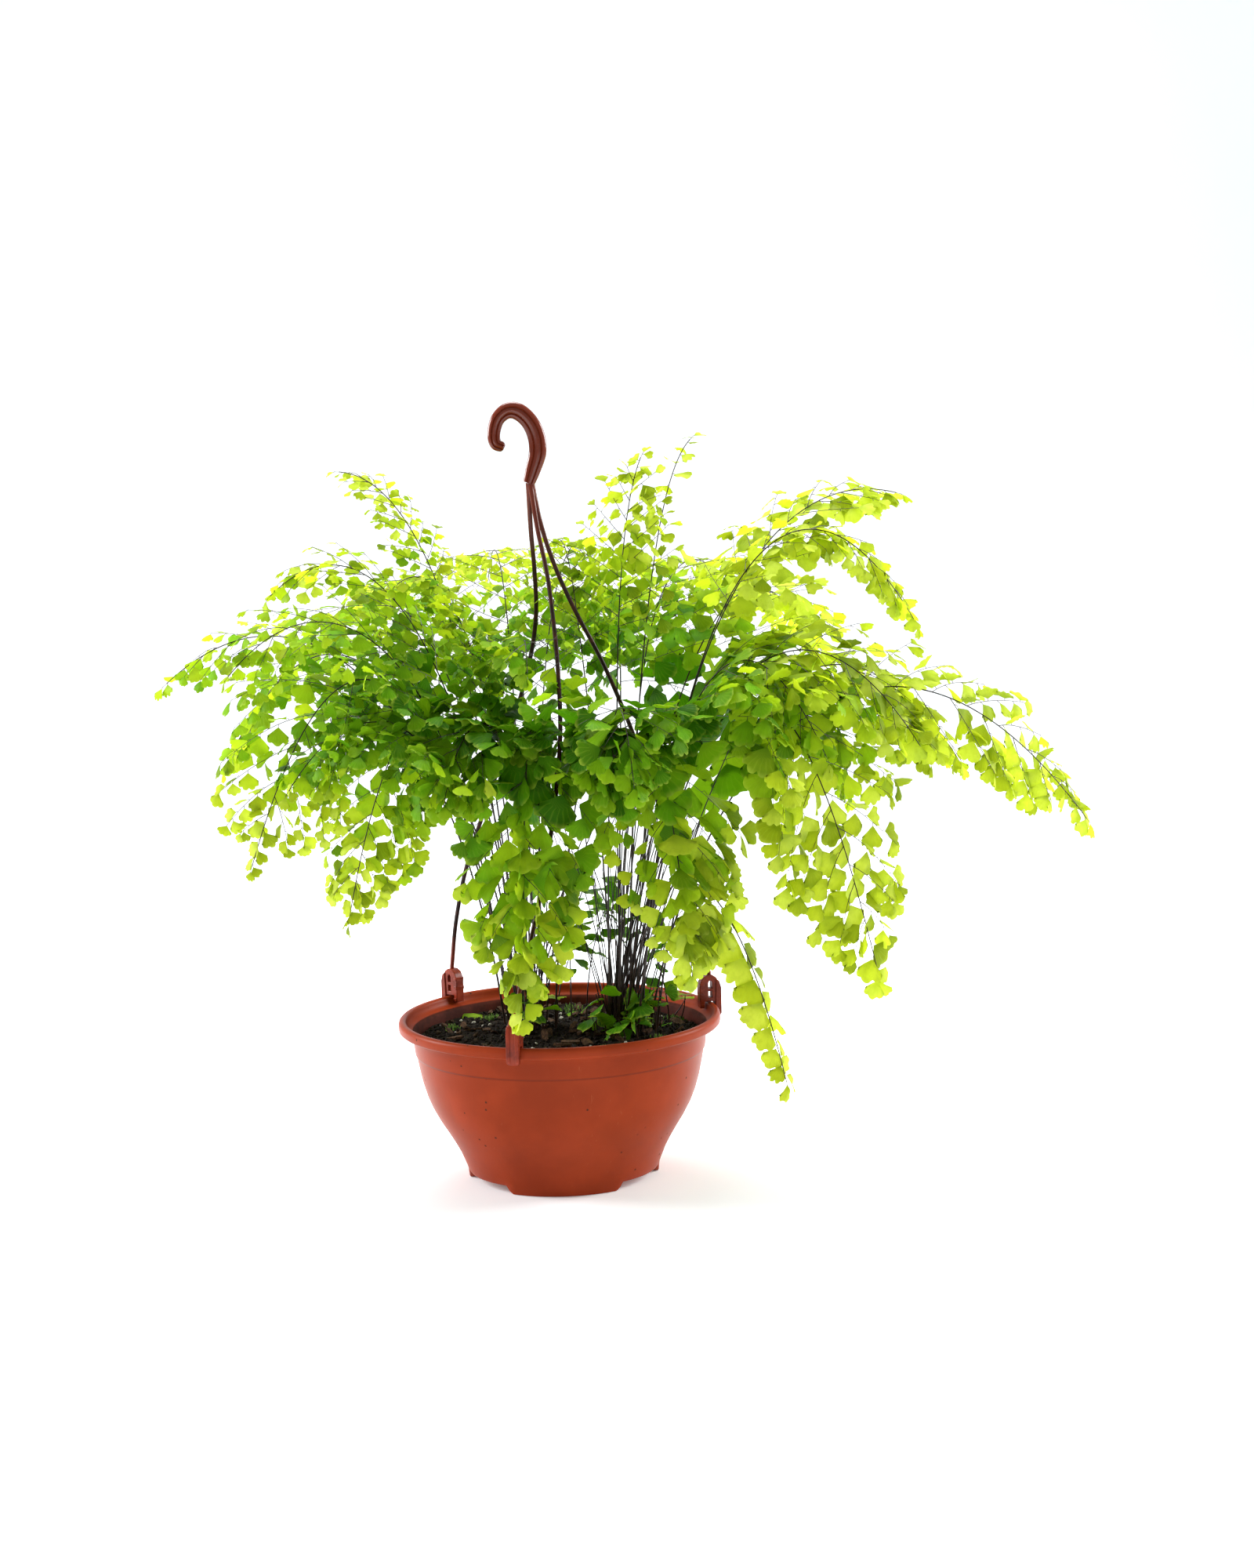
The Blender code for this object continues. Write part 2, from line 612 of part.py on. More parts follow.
    def both(self, corners):
        """A triangle on the upper face and its twin on the lower one."""
        a, b, c = corners
        self.faces += [(a[0], b[0], c[0]), (c[1], b[1], a[1])]

    def leaf_faces(self, leaf, near, far, sign):
        normal = leaf["normal"]
        edge = [(self.add(p + normal * BLADE / 2), self.add(p - normal * BLADE / 2)) for p, _ in leaf["outline"]]
        loop = [near] + edge + [far]
        middle = len(loop) // 2
        fans = [(loop[0], loop[k], loop[k + 1]) for k in range(1, middle)]
        fans.append((loop[0], loop[middle], loop[-1]))
        fans += [(loop[-1], loop[k], loop[k + 1]) for k in range(middle, len(loop) - 2)]
        for a, b, c in fans:
            self.both((a, b, c) if sign < 0 else (c, b, a))
        for a, b in zip(loop, loop[1:]):
            if sign < 0:
                self.quad(a[0], a[1], b[1], b[0])
            else:
                self.quad(b[0], b[1], a[1], a[0])

    def rib_frame(self, branch, share):
        rib = branch["rib"]
        tangent = unit(point_at(rib, min(1, share + 0.06)) - point_at(rib, max(0, share - 0.06)))
        normal = branch["normal"]
        normal = unit(normal - tangent * (normal @ tangent))
        return point_at(rib, share), tangent, np.cross(normal, tangent), normal

    def fit_leaflet(self, rib, share, sign, size, branch, blocked, rng, last):
        """A fan-shaped leaflet that clears everything already grown, or None."""
        long = lengths(rib)[-1]
        base, tangent, side, normal = self.rib_frame(branch, share)
        half = 0.6 * MM / long
        for attempt in range(7):
            grow = size * (1 - 0.07 * attempt)
            angle = 0.0 if last else math.radians(58 + rng.uniform(-6, 6))
            tilt = rng.uniform(-0.1, 0.45) * (1 + 0.25 * attempt)
            twist = rng.uniform(-0.35, 0.35) * (1 + 0.5 * attempt)
            way = math.cos(angle) * tangent + math.sin(angle) * sign * side
            fall = -UP + way * (way @ UP)
            axis = unit(way + math.tan(min(1.1, max(-1.1, tilt))) * fall * 0.8)
            face = unit(normal - axis * (normal @ axis))
            across = np.cross(face, axis)
            face = math.cos(twist) * face + math.sin(twist) * across
            across = np.cross(face, axis)
            start = base + side * sign * 0.7 * MM
            wide = grow * rng.uniform(0.86, 1.0)
            if last:
                fan = ((-0.50, 0.66), (-0.30, 0.98), (0.02, 0.84), (0.30, 1.0), (0.52, 0.62))
            elif rng.random() < 0.5:
                fan = ((-0.50, 0.80), (0.0, 0.78), (0.46, 0.98))
            else:
                fan = ((-0.50, 0.62), (0.02, 1.02), (0.50, 0.66))
            cx, cy = math.cos(angle), (sign if sign else 1) * math.sin(angle)
            outline = []
            for x, y in fan:
                if last:
                    spot = start + axis * y * grow + across * x * wide
                    flat = (share * long + y * grow, x * wide)
                else:
                    spot = start + axis * y * grow - across * sign * x * wide
                    flat = (share * long + cx * y * grow + cy * sign * x * wide,
                            sign * 0.7 * MM + cy * y * grow - cx * sign * x * wide)
                outline.append((spot, flat))
            ring = [start - across * 0.6 * MM, start + across * 0.6 * MM] if last else [start]
            if not last:
                ring = [base - tangent * 0.6 * MM, base + tangent * 0.6 * MM]
            corners = [p for p, _ in outline]
            if blocked.free(corners, start + axis * 0.9 * MM, face, branch["owner"]):
                blocked.add(corners, start + axis * 0.9 * MM, face)
                return dict(sign=sign, outline=outline, normal=face, **{"from": share - half, "to": share + half})
        return None


class Blocked:
    """Everything already grown, as small search trees with their boxes."""

    def __init__(self):
        self.trees, self.low, self.high, self.owners = [], [], [], []

    def push(self, points, faces, owner=None):
        points = np.asarray(points)
        self.owners.append(owner)
        self.trees.append(BVHTree.FromPolygons([Vector(p) for p in points], faces))
        self.low.append(points.min(0))
        self.high.append(points.max(0))

    def forget(self, count):
        for held in (self.trees, self.low, self.high, self.owners):
            del held[count:]

    def prism(self, outline, root, normal, margin):
        points = [root] + list(outline)
        center = np.mean(points, axis=0)
        grown = [p + (p - center) * margin / max(np.linalg.norm(p - center), margin) for p in points]
        count = len(grown)
        depth = normal * (BLADE / 2 + margin)
        solid = [p + depth for p in grown] + [p - depth for p in grown]
        faces = [(0, k, k + 1) for k in range(1, count - 1)]
        faces += [(count, count + k + 1, count + k) for k in range(1, count - 1)]
        for k in range(count):
            m = (k + 1) % count
            faces += [(k, m, count + m), (k, count + m, count + k)]
        return np.array(solid), faces

    def free(self, outline, root, normal, owner):
        points, faces = self.prism(outline, root, normal, 0.45 * MM)
        skip = {i for i, held in enumerate(self.owners) if held == owner}
        return not self.meets(points, faces, skip)

    def add(self, outline, root, normal):
        self.push(*self.prism(outline, root, normal, 0.0))

    def rods(self, line, radius):
        """A rib as short square rods, so that each has a small box."""
        for a, b in zip(line, line[1:]):
            cuts = max(1, int(np.linalg.norm(b - a) / (14 * MM)))
            for k in range(cuts):
                ends = a + (b - a) * k / cuts, a + (b - a) * (k + 1) / cuts
                rings = [ring_about(p, unit(b - a), radius * 1.42, 4) for p in ends]
                faces = [(j, (j + 1) % 4, 4 + (j + 1) % 4) for j in range(4)]
                faces += [(j, 4 + (j + 1) % 4, 4 + j) for j in range(4)] + [(0, 1, 2), (4, 6, 5)]
                yield np.array(rings[0] + rings[1]), faces

    def add_rod(self, line, radius, owner):
        for points, faces in self.rods(line, radius):
            self.push(points, faces, owner)

    def rod_free(self, line, radius, frond):
        """Clear of everything but the frond's own rib and branches."""
        skip = {i for i, owner in enumerate(self.owners) if owner and owner[0] == frond}
        return not any(self.meets(points, faces, skip) for points, faces in self.rods(line, radius + 0.4 * MM))

    def meets(self, points, faces, skip):
        near = (np.array(self.low) < points.max(0)).all(1) & (np.array(self.high) > points.min(0)).all(1)
        tree = BVHTree.FromPolygons([Vector(p) for p in points], faces)
        return any(i not in skip and self.trees[i].overlap(tree) for i in np.nonzero(near)[0])


def evaluated_faces(item):
    view = bpy.context.evaluated_depsgraph_get()
    mesh = item.evaluated_get(view).to_mesh()
    bm = bmesh.new()
    bm.from_mesh(mesh)
    bmesh.ops.triangulate(bm, faces=bm.faces[:])
    points = [tuple(item.matrix_world @ v.co) for v in bm.verts]
    faces = [[v.index for v in f.verts] for f in bm.faces]
    bm.free()
    return points, faces


def make_fronds(plans, solids):
    blocked = Blocked()
    for item in solids:
        blocked.push(*evaluated_faces(item))
    fronds = [Frond(plan) for plan in plans]
    for frond in fronds:
        frond.lay_out(blocked)
    for frond in fronds:
        frond.lay_branches(blocked)
    shades = ((0.10, 0.30, 0.02), (0.16, 0.38, 0.03), (0.28, 0.50, 0.05))
    made = []
    done = [BVHTree.FromPolygons(*evaluated_faces(item)) for item in solids]
    for index, (frond, plan) in enumerate(zip(fronds, plans)):
        held = len(blocked.trees)
        while True:
            frond.build(blocked)
            tree = BVHTree.FromPolygons([Vector(p) for p in frond.points], frond.faces)
            own = any(not set(frond.faces[a]) & set(frond.faces[b]) for a, b in tree.overlap(tree))
            if frond.seed >= 40 or not (own or any(tree.overlap(other) for other in done)):
                break
            # some leaflet touches: grow this frond's leaflets again from another seed
            frond.points, frond.faces, frond.seed = [], [], frond.seed + 1
            blocked.forget(held)
        done.append(tree)
        mesh = bpy.data.meshes.new(plan["name"])
        mesh.from_pydata([tuple(p) for p in frond.points], [], frond.faces)
        mesh.update()
        made.append(add_object(plan["name"], mesh, finish("fern green %02d" % (index + 1), shades[index % 3], 0.5)))
    return made


def main():
    clear_scene()
    plans = grow_fronds()
    solids = [make_pot(), make_hanger(), make_soil(plans)]
    bpy.context.view_layer.update()
    make_fronds(plans, solids)


main()
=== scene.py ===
"""Maidenhair fern in a terracotta plastic hanging bowl: its surfaces, foliage and studio.

Laid out as a Blender add-on and run as a script. Everything is in metres, +Z up, with the bowl's axis
on the origin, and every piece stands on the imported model's frame.
"""
import json
import math
import random

import bmesh
import bpy
import numpy as np
from bpy.props import FloatProperty, FloatVectorProperty, IntProperty, PointerProperty
from mathutils import Euler, Matrix, Vector
from mathutils.geometry import tessellate_polygon as tessellate

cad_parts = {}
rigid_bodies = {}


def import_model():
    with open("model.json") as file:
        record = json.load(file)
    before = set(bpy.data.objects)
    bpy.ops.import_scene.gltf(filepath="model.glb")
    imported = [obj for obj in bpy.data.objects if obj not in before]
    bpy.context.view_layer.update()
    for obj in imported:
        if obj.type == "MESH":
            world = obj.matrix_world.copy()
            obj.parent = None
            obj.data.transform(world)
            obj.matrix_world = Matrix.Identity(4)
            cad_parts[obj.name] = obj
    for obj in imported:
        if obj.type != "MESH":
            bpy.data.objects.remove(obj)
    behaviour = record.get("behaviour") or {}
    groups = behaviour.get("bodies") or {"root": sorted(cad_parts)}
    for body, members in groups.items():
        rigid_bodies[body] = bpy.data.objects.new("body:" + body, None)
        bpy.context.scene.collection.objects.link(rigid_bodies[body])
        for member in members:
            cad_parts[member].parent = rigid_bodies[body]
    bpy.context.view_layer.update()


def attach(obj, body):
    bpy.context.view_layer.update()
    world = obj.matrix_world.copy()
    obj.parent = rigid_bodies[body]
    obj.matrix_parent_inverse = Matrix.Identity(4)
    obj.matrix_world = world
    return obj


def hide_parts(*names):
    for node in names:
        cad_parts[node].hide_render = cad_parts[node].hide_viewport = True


bl_info = {
    "name": "Potted maidenhair fern",
    "version": (1, 0, 0),
    "blender": (4, 5, 0),
    "location": "View3D > Sidebar > Fern",
    "description": "Builds a maidenhair fern in a hanging bowl, piece by piece",
    "category": "Add Mesh",
}

for leftover in list(bpy.data.objects):
    bpy.data.objects.remove(leftover)
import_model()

MM = 0.001
UP = np.array([0.0, 0.0, 1.0])
SOIL_Z = 93 * MM

# ------------------------------------------------------------ how the fern grows (as in the part's source)

CROWNS = {"left": (-18 * MM, 8 * MM), "right": (40 * MM, -6 * MM)}
# how deep a stalk stands in the mix, the step along a rib, and the least gaps between the middles of two
# stalks, of two side branches, and of the side branches that are solid in the part
ROOT_DEPTH = 8 * MM
STEP = 3 * MM
FROND_GAP = 5.0 * MM
PINNA_GAP = 3.6 * MM
SOLID_GAP = 2.8 * MM
TINY = 1e-12
# the middle lines of the hanger's legs, top down, in millimetres
LEG_AXES = (
    ((-9, 0, 452.5), (-8.5, 4, 422.5), (-7, 12, 395.3), (-7, 21, 366.3), (-12, 32, 335.3), (-24, 44, 294.6),
     (-41, 55, 246.1), (-58, 64, 197.7), (-67, 70, 158.9), (-71.2, 73.7, 126)),
    ((-8, 0, 452.5), (-4, -5, 422.5), (1, -13, 395.3), (4, -22, 366.3), (6, -33, 335.3), (6, -50, 294.6),
     (0, -67, 246.1), (-10, -82, 197.7), (-20, -92, 158.9), (-28.2, -98.5, 126)),
    ((-7, 0, 452.5), (-2, 1, 426.3), (6, 3, 399.2), (18, 6, 370.1), (35, 10, 335.3), (51, 14, 294.6),
     (67, 18, 246.1), (81, 21, 202.5), (92, 23, 158.9), (99.4, 24.8, 126)),
)
# crown, azimuth, reach, peak height, tip height, half width of the blade, share of bare stalk, roll
FRONDS = (
    ("left", 171, 108, 462, 462, 26, 0.74, 20),
    ("left", 186, 152, 420, 384, 62, 0.60, 15),
    ("left", 205, 186, 388, 340, 74, 0.54, 25),
    ("left", 178, 216, 372, 326, 60, 0.52, 20),
    ("left", 205, 178, 340, 222, 80, 0.50, 50),
    ("left", 206, 120, 308, 180, 46, 0.58, 40),
    ("left", 160, 200, 352, 262, 76, 0.52, 20),
    ("left", 143, 180, 390, 320, 76, 0.52, 10),
    ("left", 121, 188, 400, 340, 70, 0.56, 0),
    ("left", 97, 168, 416, 375, 56, 0.58, 0),
    ("left", 243, 112, 318, 262, 56, 0.56, 20),
    ("left", 263, 112, 292, 130, 54, 0.46, 0),
    ("left", 284, 126, 318, 262, 46, 0.55, 0),
    ("left", 62, 92, 418, 406, 44, 0.64, 0),
    ("left", 222, 88, 408, 392, 50, 0.62, 10),
    ("left", 193, 166, 322, 270, 66, 0.52, 15),
    ("right", 30, 60, 468, 478, 8, 0.86, 0),
    ("right", 14, 186, 450, 436, 46, 0.66, -20),
    ("right", 358, 184, 436, 356, 18, 0.66, -20),
    ("right", 349, 198, 356, 272, 64, 0.54, -25),
    ("right", 356, 288, 324, 226, 56, 0.52, -35),
    ("right", 336, 168, 312, 142, 64, 0.52, -35),
    ("right", 297, 100, 286, 152, 56, 0.50, -10),
    ("right", 320, 138, 190, 78, 6, 0.46, -10),
    ("right", 12, 212, 338, 258, 72, 0.52, -15),
    ("right", 37, 190, 388, 325, 72, 0.54, -5),
    ("right", 62, 176, 408, 356, 62, 0.57, 0),
    ("right", 88, 188, 385, 322, 66, 0.57, 0),
    ("right", 286, 124, 330, 276, 52, 0.56, 0),
    ("right", 326, 146, 352, 278, 62, 0.56, -20),
    ("right", 50, 36, 458, 468, 44, 0.70, -10),
    ("right", 112, 74, 418, 410, 44, 0.66, 0),
    ("right", 22, 150, 312, 238, 66, 0.52, -10),
    ("left", 276, 96, 372, 338, 50, 0.62, 0),
)


def unit(vector):
    return vector / np.linalg.norm(vector)


def across(vector, axis):
    """The part of a vector that is square to an axis, as a unit vector."""
    return unit(vector - axis * (vector @ axis))


def heading(angle, height=0.0):
    return np.array([math.cos(angle), math.sin(angle), height])


def rise(value, width):
    """0 up to a value of 0, 1 from the width on, straight between."""
    return min(1.0, max(0.0, value) / width)


def smooth(points, cuts):
    """Catmull-Rom curve through the given points."""
    p = np.concatenate([[2 * points[0] - points[1]], points, [2 * points[-1] - points[-2]]])
    t = np.arange(cuts)[:, None] / cuts
    out = []
    for a, b, c, d in zip(p, p[1:], p[2:], p[3:]):
        square, cube = 2 * a - 5 * b + 4 * c - d, 3 * b - a - 3 * c + d
        out.append(0.5 * (2 * b + (c - a) * t + square * t * t + cube * t**3))
    return np.concatenate(out + [points[-1:]])


def lengths(points):
    run = np.linalg.norm(np.diff(points, axis=0), axis=1)
    return np.concatenate([[0.0], np.cumsum(run)])


def point_at(points, share):
    at = lengths(points)
    return np.array([np.interp(share * at[-1], at, points[:, k]) for k in range(3)])


def resample(points, step):
    at = lengths(points)
    where = np.linspace(0, at[-1], max(2, int(round(at[-1] / step)) + 1))
    return np.stack([np.interp(where, at, points[:, k]) for k in range(3)], 1)


def nearest(points, others):
    if not len(others):
        return 1.0
    low, high = points.min(0) - 0.02, points.max(0) + 0.02
    near = others[((others > low) & (others < high)).all(1)]
    if not len(near):
        return 0.02
    gap = points[:, None, :] - near[None, :, :]
    return math.sqrt((gap * gap).sum(-1).min())


def main_rib(root, azimuth, reach, peak, tip, sway):
    """A stalk that rises from its crown, arches over at the peak and comes down to its tip."""
    out = heading(azimuth)
    side = np.cross(UP, out)
    p1 = root + out * reach * 0.09 + UP * (peak - root[2]) * 0.72
    p2 = root + out * reach * 0.52 + UP * (peak - root[2] + 1.05 * (peak - tip))
    p3 = root + out * reach + UP * (tip - root[2])
    t = np.linspace(0, 1, 60)[:, None]
    s = 1 - t
    curve = s**3 * root + 3 * s * s * t * p1 + 3 * s * t * t * p2 + t**3 * p3
    return resample(curve + side * sway * np.sin(math.pi * t) ** 2, STEP)


def frame_at(points, share, azimuth, roll):
    """Point, tangent, side and face normal of a rib at a share of its length."""
    tangent = unit(point_at(points, min(1, share + 0.02)) - point_at(points, max(0, share - 0.02)))
    side = np.array([math.sin(azimuth), -math.cos(azimuth), 0.0])
    side = across(side, tangent)
    normal = np.cross(side, tangent)
    side, normal = (math.cos(roll) * side + math.sin(roll) * normal,
                    math.cos(roll) * normal - math.sin(roll) * side)
    return point_at(points, share), tangent, side, normal


def side_rib(base, tangent, side, length, angle, droop):
    """A side branch: it leaves at an angle, curls a little forward and hangs."""
    t = np.linspace(0, 1, 12)[:, None]
    go = (math.cos(angle) * tangent + math.sin(angle) * side) * length * t
    return resample(base + go + (0.20 * tangent - droop * UP) * length * t * t, STEP)


HANGER_LEGS = [smooth(np.array(axis, float) * MM, 8) for axis in LEG_AXES]


def grow_fronds():
    """Main ribs first, each clear of the rest, and then their side branches."""
    rng = random.Random(7)
    legs = [resample(leg, STEP) for leg in HANGER_LEGS]
    taken = np.concatenate(legs)
    fronds = []
    for index, (crown, azimuth, reach, peak, tip, half, stalk, roll) in enumerate(FRONDS):
        cx, cy = CROWNS[crown]
        out = (4 + 13 * min(1.0, reach / 260)) * MM
        best = (-1.0,)
        for attempt in range(70):
            turn = math.radians(azimuth + (attempt + 1) // 4 * 1.6 * (-1) ** attempt)
            wide = out * (1 + 0.6 * rng.uniform(-1, 1) * (attempt > 0))
            swing = turn + rng.uniform(-0.9, 0.9) * (attempt > 0)
            root = np.array([cx + wide * math.cos(swing), cy + wide * math.sin(swing), SOIL_Z - ROOT_DEPTH])
            rib = main_rib(root, turn, reach * MM, peak * MM, tip * MM, rng.uniform(-9, 9) * MM)
            gap = nearest(rib, taken)
            if gap > best[0]:
                best = (gap, rib, turn)
            if gap > FROND_GAP:
                break
        taken = np.concatenate([taken, best[1]])
        fronds.append(dict(name="frond_%02d" % (index + 1), azimuth=best[2], rib=best[1], half=half * MM,
                           stalk=stalk, roll=math.radians(roll), branches=[]))
    for frond in fronds:
        blade = lengths(frond["rib"])[-1] * (1 - frond["stalk"])
        pairs = 3 if blade < 105 * MM else 4 if blade < 240 * MM else 5
        hand = rng.choice((-1, 1))
        others = np.concatenate(legs + [f["rib"] for f in fronds if f is not frond]
                                + [b["rib"] for f in fronds for b in f["branches"] if b["solid"]])
        for j in range(4 * pairs):
            u = (j + 0.4) / (4 * pairs)
            share = frond["stalk"] + (1 - frond["stalk"]) * u * 0.86
            base, tangent, side, normal = frame_at(frond["rib"], share, frond["azimuth"], frond["roll"])
            length = frond["half"] * (1 - u) ** 0.7 * rng.uniform(0.9, 1.1) + 10 * MM
            solid = j % 4 == (j // 4) % 2
            best = (-1.0,)
            for attempt in range(12):
                angle = math.radians(66 - 22 * u + rng.uniform(-6, 6) * (1 + 0.2 * attempt))
                droop = 0.08 + 0.30 * rng.random() + 0.04 * attempt * rng.random()
                rib = side_rib(base, tangent, side * hand * (-1) ** j, length, angle, droop)
                gap = nearest(rib, others) if solid else 1.0
                if gap > best[0]:
                    best = (gap, rib)
                if gap > PINNA_GAP:
                    break
            frond["branches"].append(dict(rib=best[1], normal=normal, solid=solid and best[0] > SOLID_GAP))
    return fronds


# ---------------------------------------------------------------- settings

COLOR = dict(subtype="COLOR", size=3, min=0, max=1)
LENGTH = dict(subtype="DISTANCE", unit="LENGTH")


class BowlSettings(bpy.types.PropertyGroup):
    color: FloatVectorProperty(
        name="Plastic", description="Colour of the moulded bowl", default=(0.325, 0.041, 0.011), **COLOR)
    shade: FloatVectorProperty(
        name="Aged plastic", description="Darker mottling of the bowl", default=(0.270, 0.034, 0.009),
        **COLOR)
    notch: FloatProperty(
        name="Foot height", description="Height of the notches between the feet", default=0.005,
        min=0.001, max=0.01, **LENGTH)
    steps: IntProperty(name="Steps", description="Facets round the bowl", default=144, min=48, max=288)


class HangerSettings(bpy.types.PropertyGroup):
    color: FloatVectorProperty(
        name="Brown plastic", description="Colour of the hook", default=(0.165, 0.021, 0.006), **COLOR)
    dark: FloatVectorProperty(
        name="Leg plastic", description="Colour of the thin legs", default=(0.022, 0.010, 0.008), **COLOR)
    leg: FloatProperty(
        name="Leg radius", description="Radius of the three legs", default=0.00145, min=0.0005, max=0.004,
        **LENGTH)


class FernSettings(bpy.types.PropertyGroup):
    # the inner colour is partly painted shade deep in the plant, the young colour partly painted light at its
    # edges
    old: FloatVectorProperty(
        name="Old leaflet", description="Colour of the inner leaflets", default=(0.037, 0.160, 0.001),
        **COLOR)
    middle: FloatVectorProperty(
        name="Grown leaflet", description="Colour of leaflets half way out", default=(0.150, 0.438, 0.006),
        **COLOR)
    young: FloatVectorProperty(
        name="Young leaflet", description="Colour of the outer leaflets", default=(0.500, 0.600, 0.016),
        **COLOR)
    stalk: FloatVectorProperty(
        name="Stalk", description="Colour of the wiry stalks", default=(0.012, 0.007, 0.006), **COLOR)
    leaflet: FloatProperty(
        name="Leaflet", description="Length of a full-grown leaflet", default=0.0138, min=0.005,
        max=0.04, **LENGTH)
    crowding: FloatProperty(
        name="Crowding", description="Spacing of leaflets as a share of their length", default=0.60,
        min=0.3, max=1, subtype="FACTOR")
    bare: IntProperty(
        name="Bare stalks", description="Old stalks without leaflets", default=68, min=0, max=90)


class SoilSettings(bpy.types.PropertyGroup):
    color: FloatVectorProperty(
        name="Potting mix", description="Colour of the mix", default=(0.006, 0.0042, 0.0028), **COLOR)
    crumbs: IntProperty(name="Crumbs", description="Loose crumbs on the mix", default=2400, min=0, max=6000)


class StudioSettings(bpy.types.PropertyGroup):
    floor: FloatVectorProperty(
        name="Floor", description="Colour of the floor and backdrop", default=(0.89, 0.925, 0.945), **COLOR)
    distance: FloatProperty(
        name="Camera distance", description="From the camera to the bowl's axis", default=2.2,
        min=0.5, max=5, **LENGTH)
    lens: FloatProperty(name="Focal length", description="Lens in millimetres", default=78.9, min=20, max=200)


# ---------------------------------------------------------------- shader maths

class Value:
    """A shader socket that takes part in arithmetic; each operation adds its Math node."""

    def __init__(self, finish, socket):
        self.finish, self.socket = finish, socket

    def math(self, operation, *values):
        return self.finish.node("ShaderNodeMath", {"operation": operation}, dict(enumerate(values)))[0]

    def __add__(self, other):
        return self.math("ADD", self, other)

    def __sub__(self, other):
        return self.math("SUBTRACT", self, other)

    def __rsub__(self, other):
        return self.math("SUBTRACT", other, self)

    def __mul__(self, other):
        return self.math("MULTIPLY", self, other)

    def __pow__(self, other):
        return self.math("POWER", self, other)

    __radd__, __rmul__ = __add__, __mul__

    def step(self, low, high):
        """0 below low, 1 above high, smooth between."""
        settings = {"interpolation_type": "SMOOTHSTEP"}
        sockets = {"Value": self, "From Min": low, "From Max": high}
        return self.finish.node("ShaderNodeMapRange", settings, sockets)["Result"]


class Outputs:
    """A node's outputs by name or number, as values."""

    def __init__(self, finish, node):
        self.finish, self.node = finish, node

    def __getitem__(self, key):
        return Value(self.finish, self.node.outputs[key])


class Finish:
    """One material: a Principled shader, expressions on its sockets, and a base colour laid on in coats."""

    def __init__(self, name, specular, **constants):
        self.material = bpy.data.materials.new(name)
        self.material.use_nodes = True
        self.tree = self.material.node_tree
        self.shader = self.tree.nodes["Principled BSDF"]
        self.set(specular_ior_level=specular, **constants)
        self.place = self.node("ShaderNodeTexCoord")["Object"]
        self.color = None

    def node(self, kind, settings=None, sockets=None):
        node = self.tree.nodes.new(kind)
        for key, value in (settings or {}).items():
            if key == "stops":
                ramp = node.color_ramp
                while len(ramp.elements) < len(value):
                    ramp.elements.new(0.5)
                for element, (where, color) in zip(ramp.elements, value):
                    element.position, element.color = where, (*color, 1)
            else:
                setattr(node, key, value)
        for key, value in (sockets or {}).items():
            self.feed(node.inputs[key], value)
        return Outputs(self, node)

    def feed(self, socket, value):
        if isinstance(value, Value):
            self.tree.links.new(value.socket, socket)
        elif hasattr(value, "__len__") and len(value) == 3 and len(socket.default_value) == 4:
            socket.default_value = (*value, 1)
        else:
            socket.default_value = value

    def set(self, **sockets):
        for key, value in sockets.items():
            self.feed(self.shader.inputs[key.replace("_", " ").title().replace("Ior", "IOR")], value)

    def noise(self, scale, detail=3.0, roughness=0.5, where=None):
        sockets = {"Vector": where or self.place, "Scale": scale, "Detail": detail, "Roughness": roughness}
        return self.node("ShaderNodeTexNoise", None, sockets)["Fac"]

    def cells(self, scale):
        return self.node("ShaderNodeTexVoronoi", None, {"Vector": self.place, "Scale": scale})["Distance"]

    def stretched(self, *scale):
        return self.node("ShaderNodeMapping", None, {"Vector": self.place, "Scale": scale})["Vector"]

    def blend(self, factor, low, high):
        settings = {"data_type": "RGBA", "clamp_factor": True}
        return self.node("ShaderNodeMix", settings, {0: factor, 6: low, 7: high})[2]

    def coat(self, mask, color, under=None):
        """Lays a colour over what is there, or over a first colour, where the mask is 1."""
        self.color = self.blend(mask, under or self.color, color)

    def split(self, vector):
        node = self.node("ShaderNodeSeparateXYZ", None, {0: vector})
        return node[0], node[1], node[2]

    def bump(self, height, distance, strength, under=None):
        sockets = {"Height": height, "Distance": distance, "Strength": strength}
        if under:
            sockets["Normal"] = under
        return self.node("ShaderNodeBump", None, sockets)["Normal"]

    def done(self, roughness, normal, **sockets):
        self.set(base_color=self.color, roughness=roughness, normal=normal, **sockets)
        return self.material


# ---------------------------------------------------------------- finishes

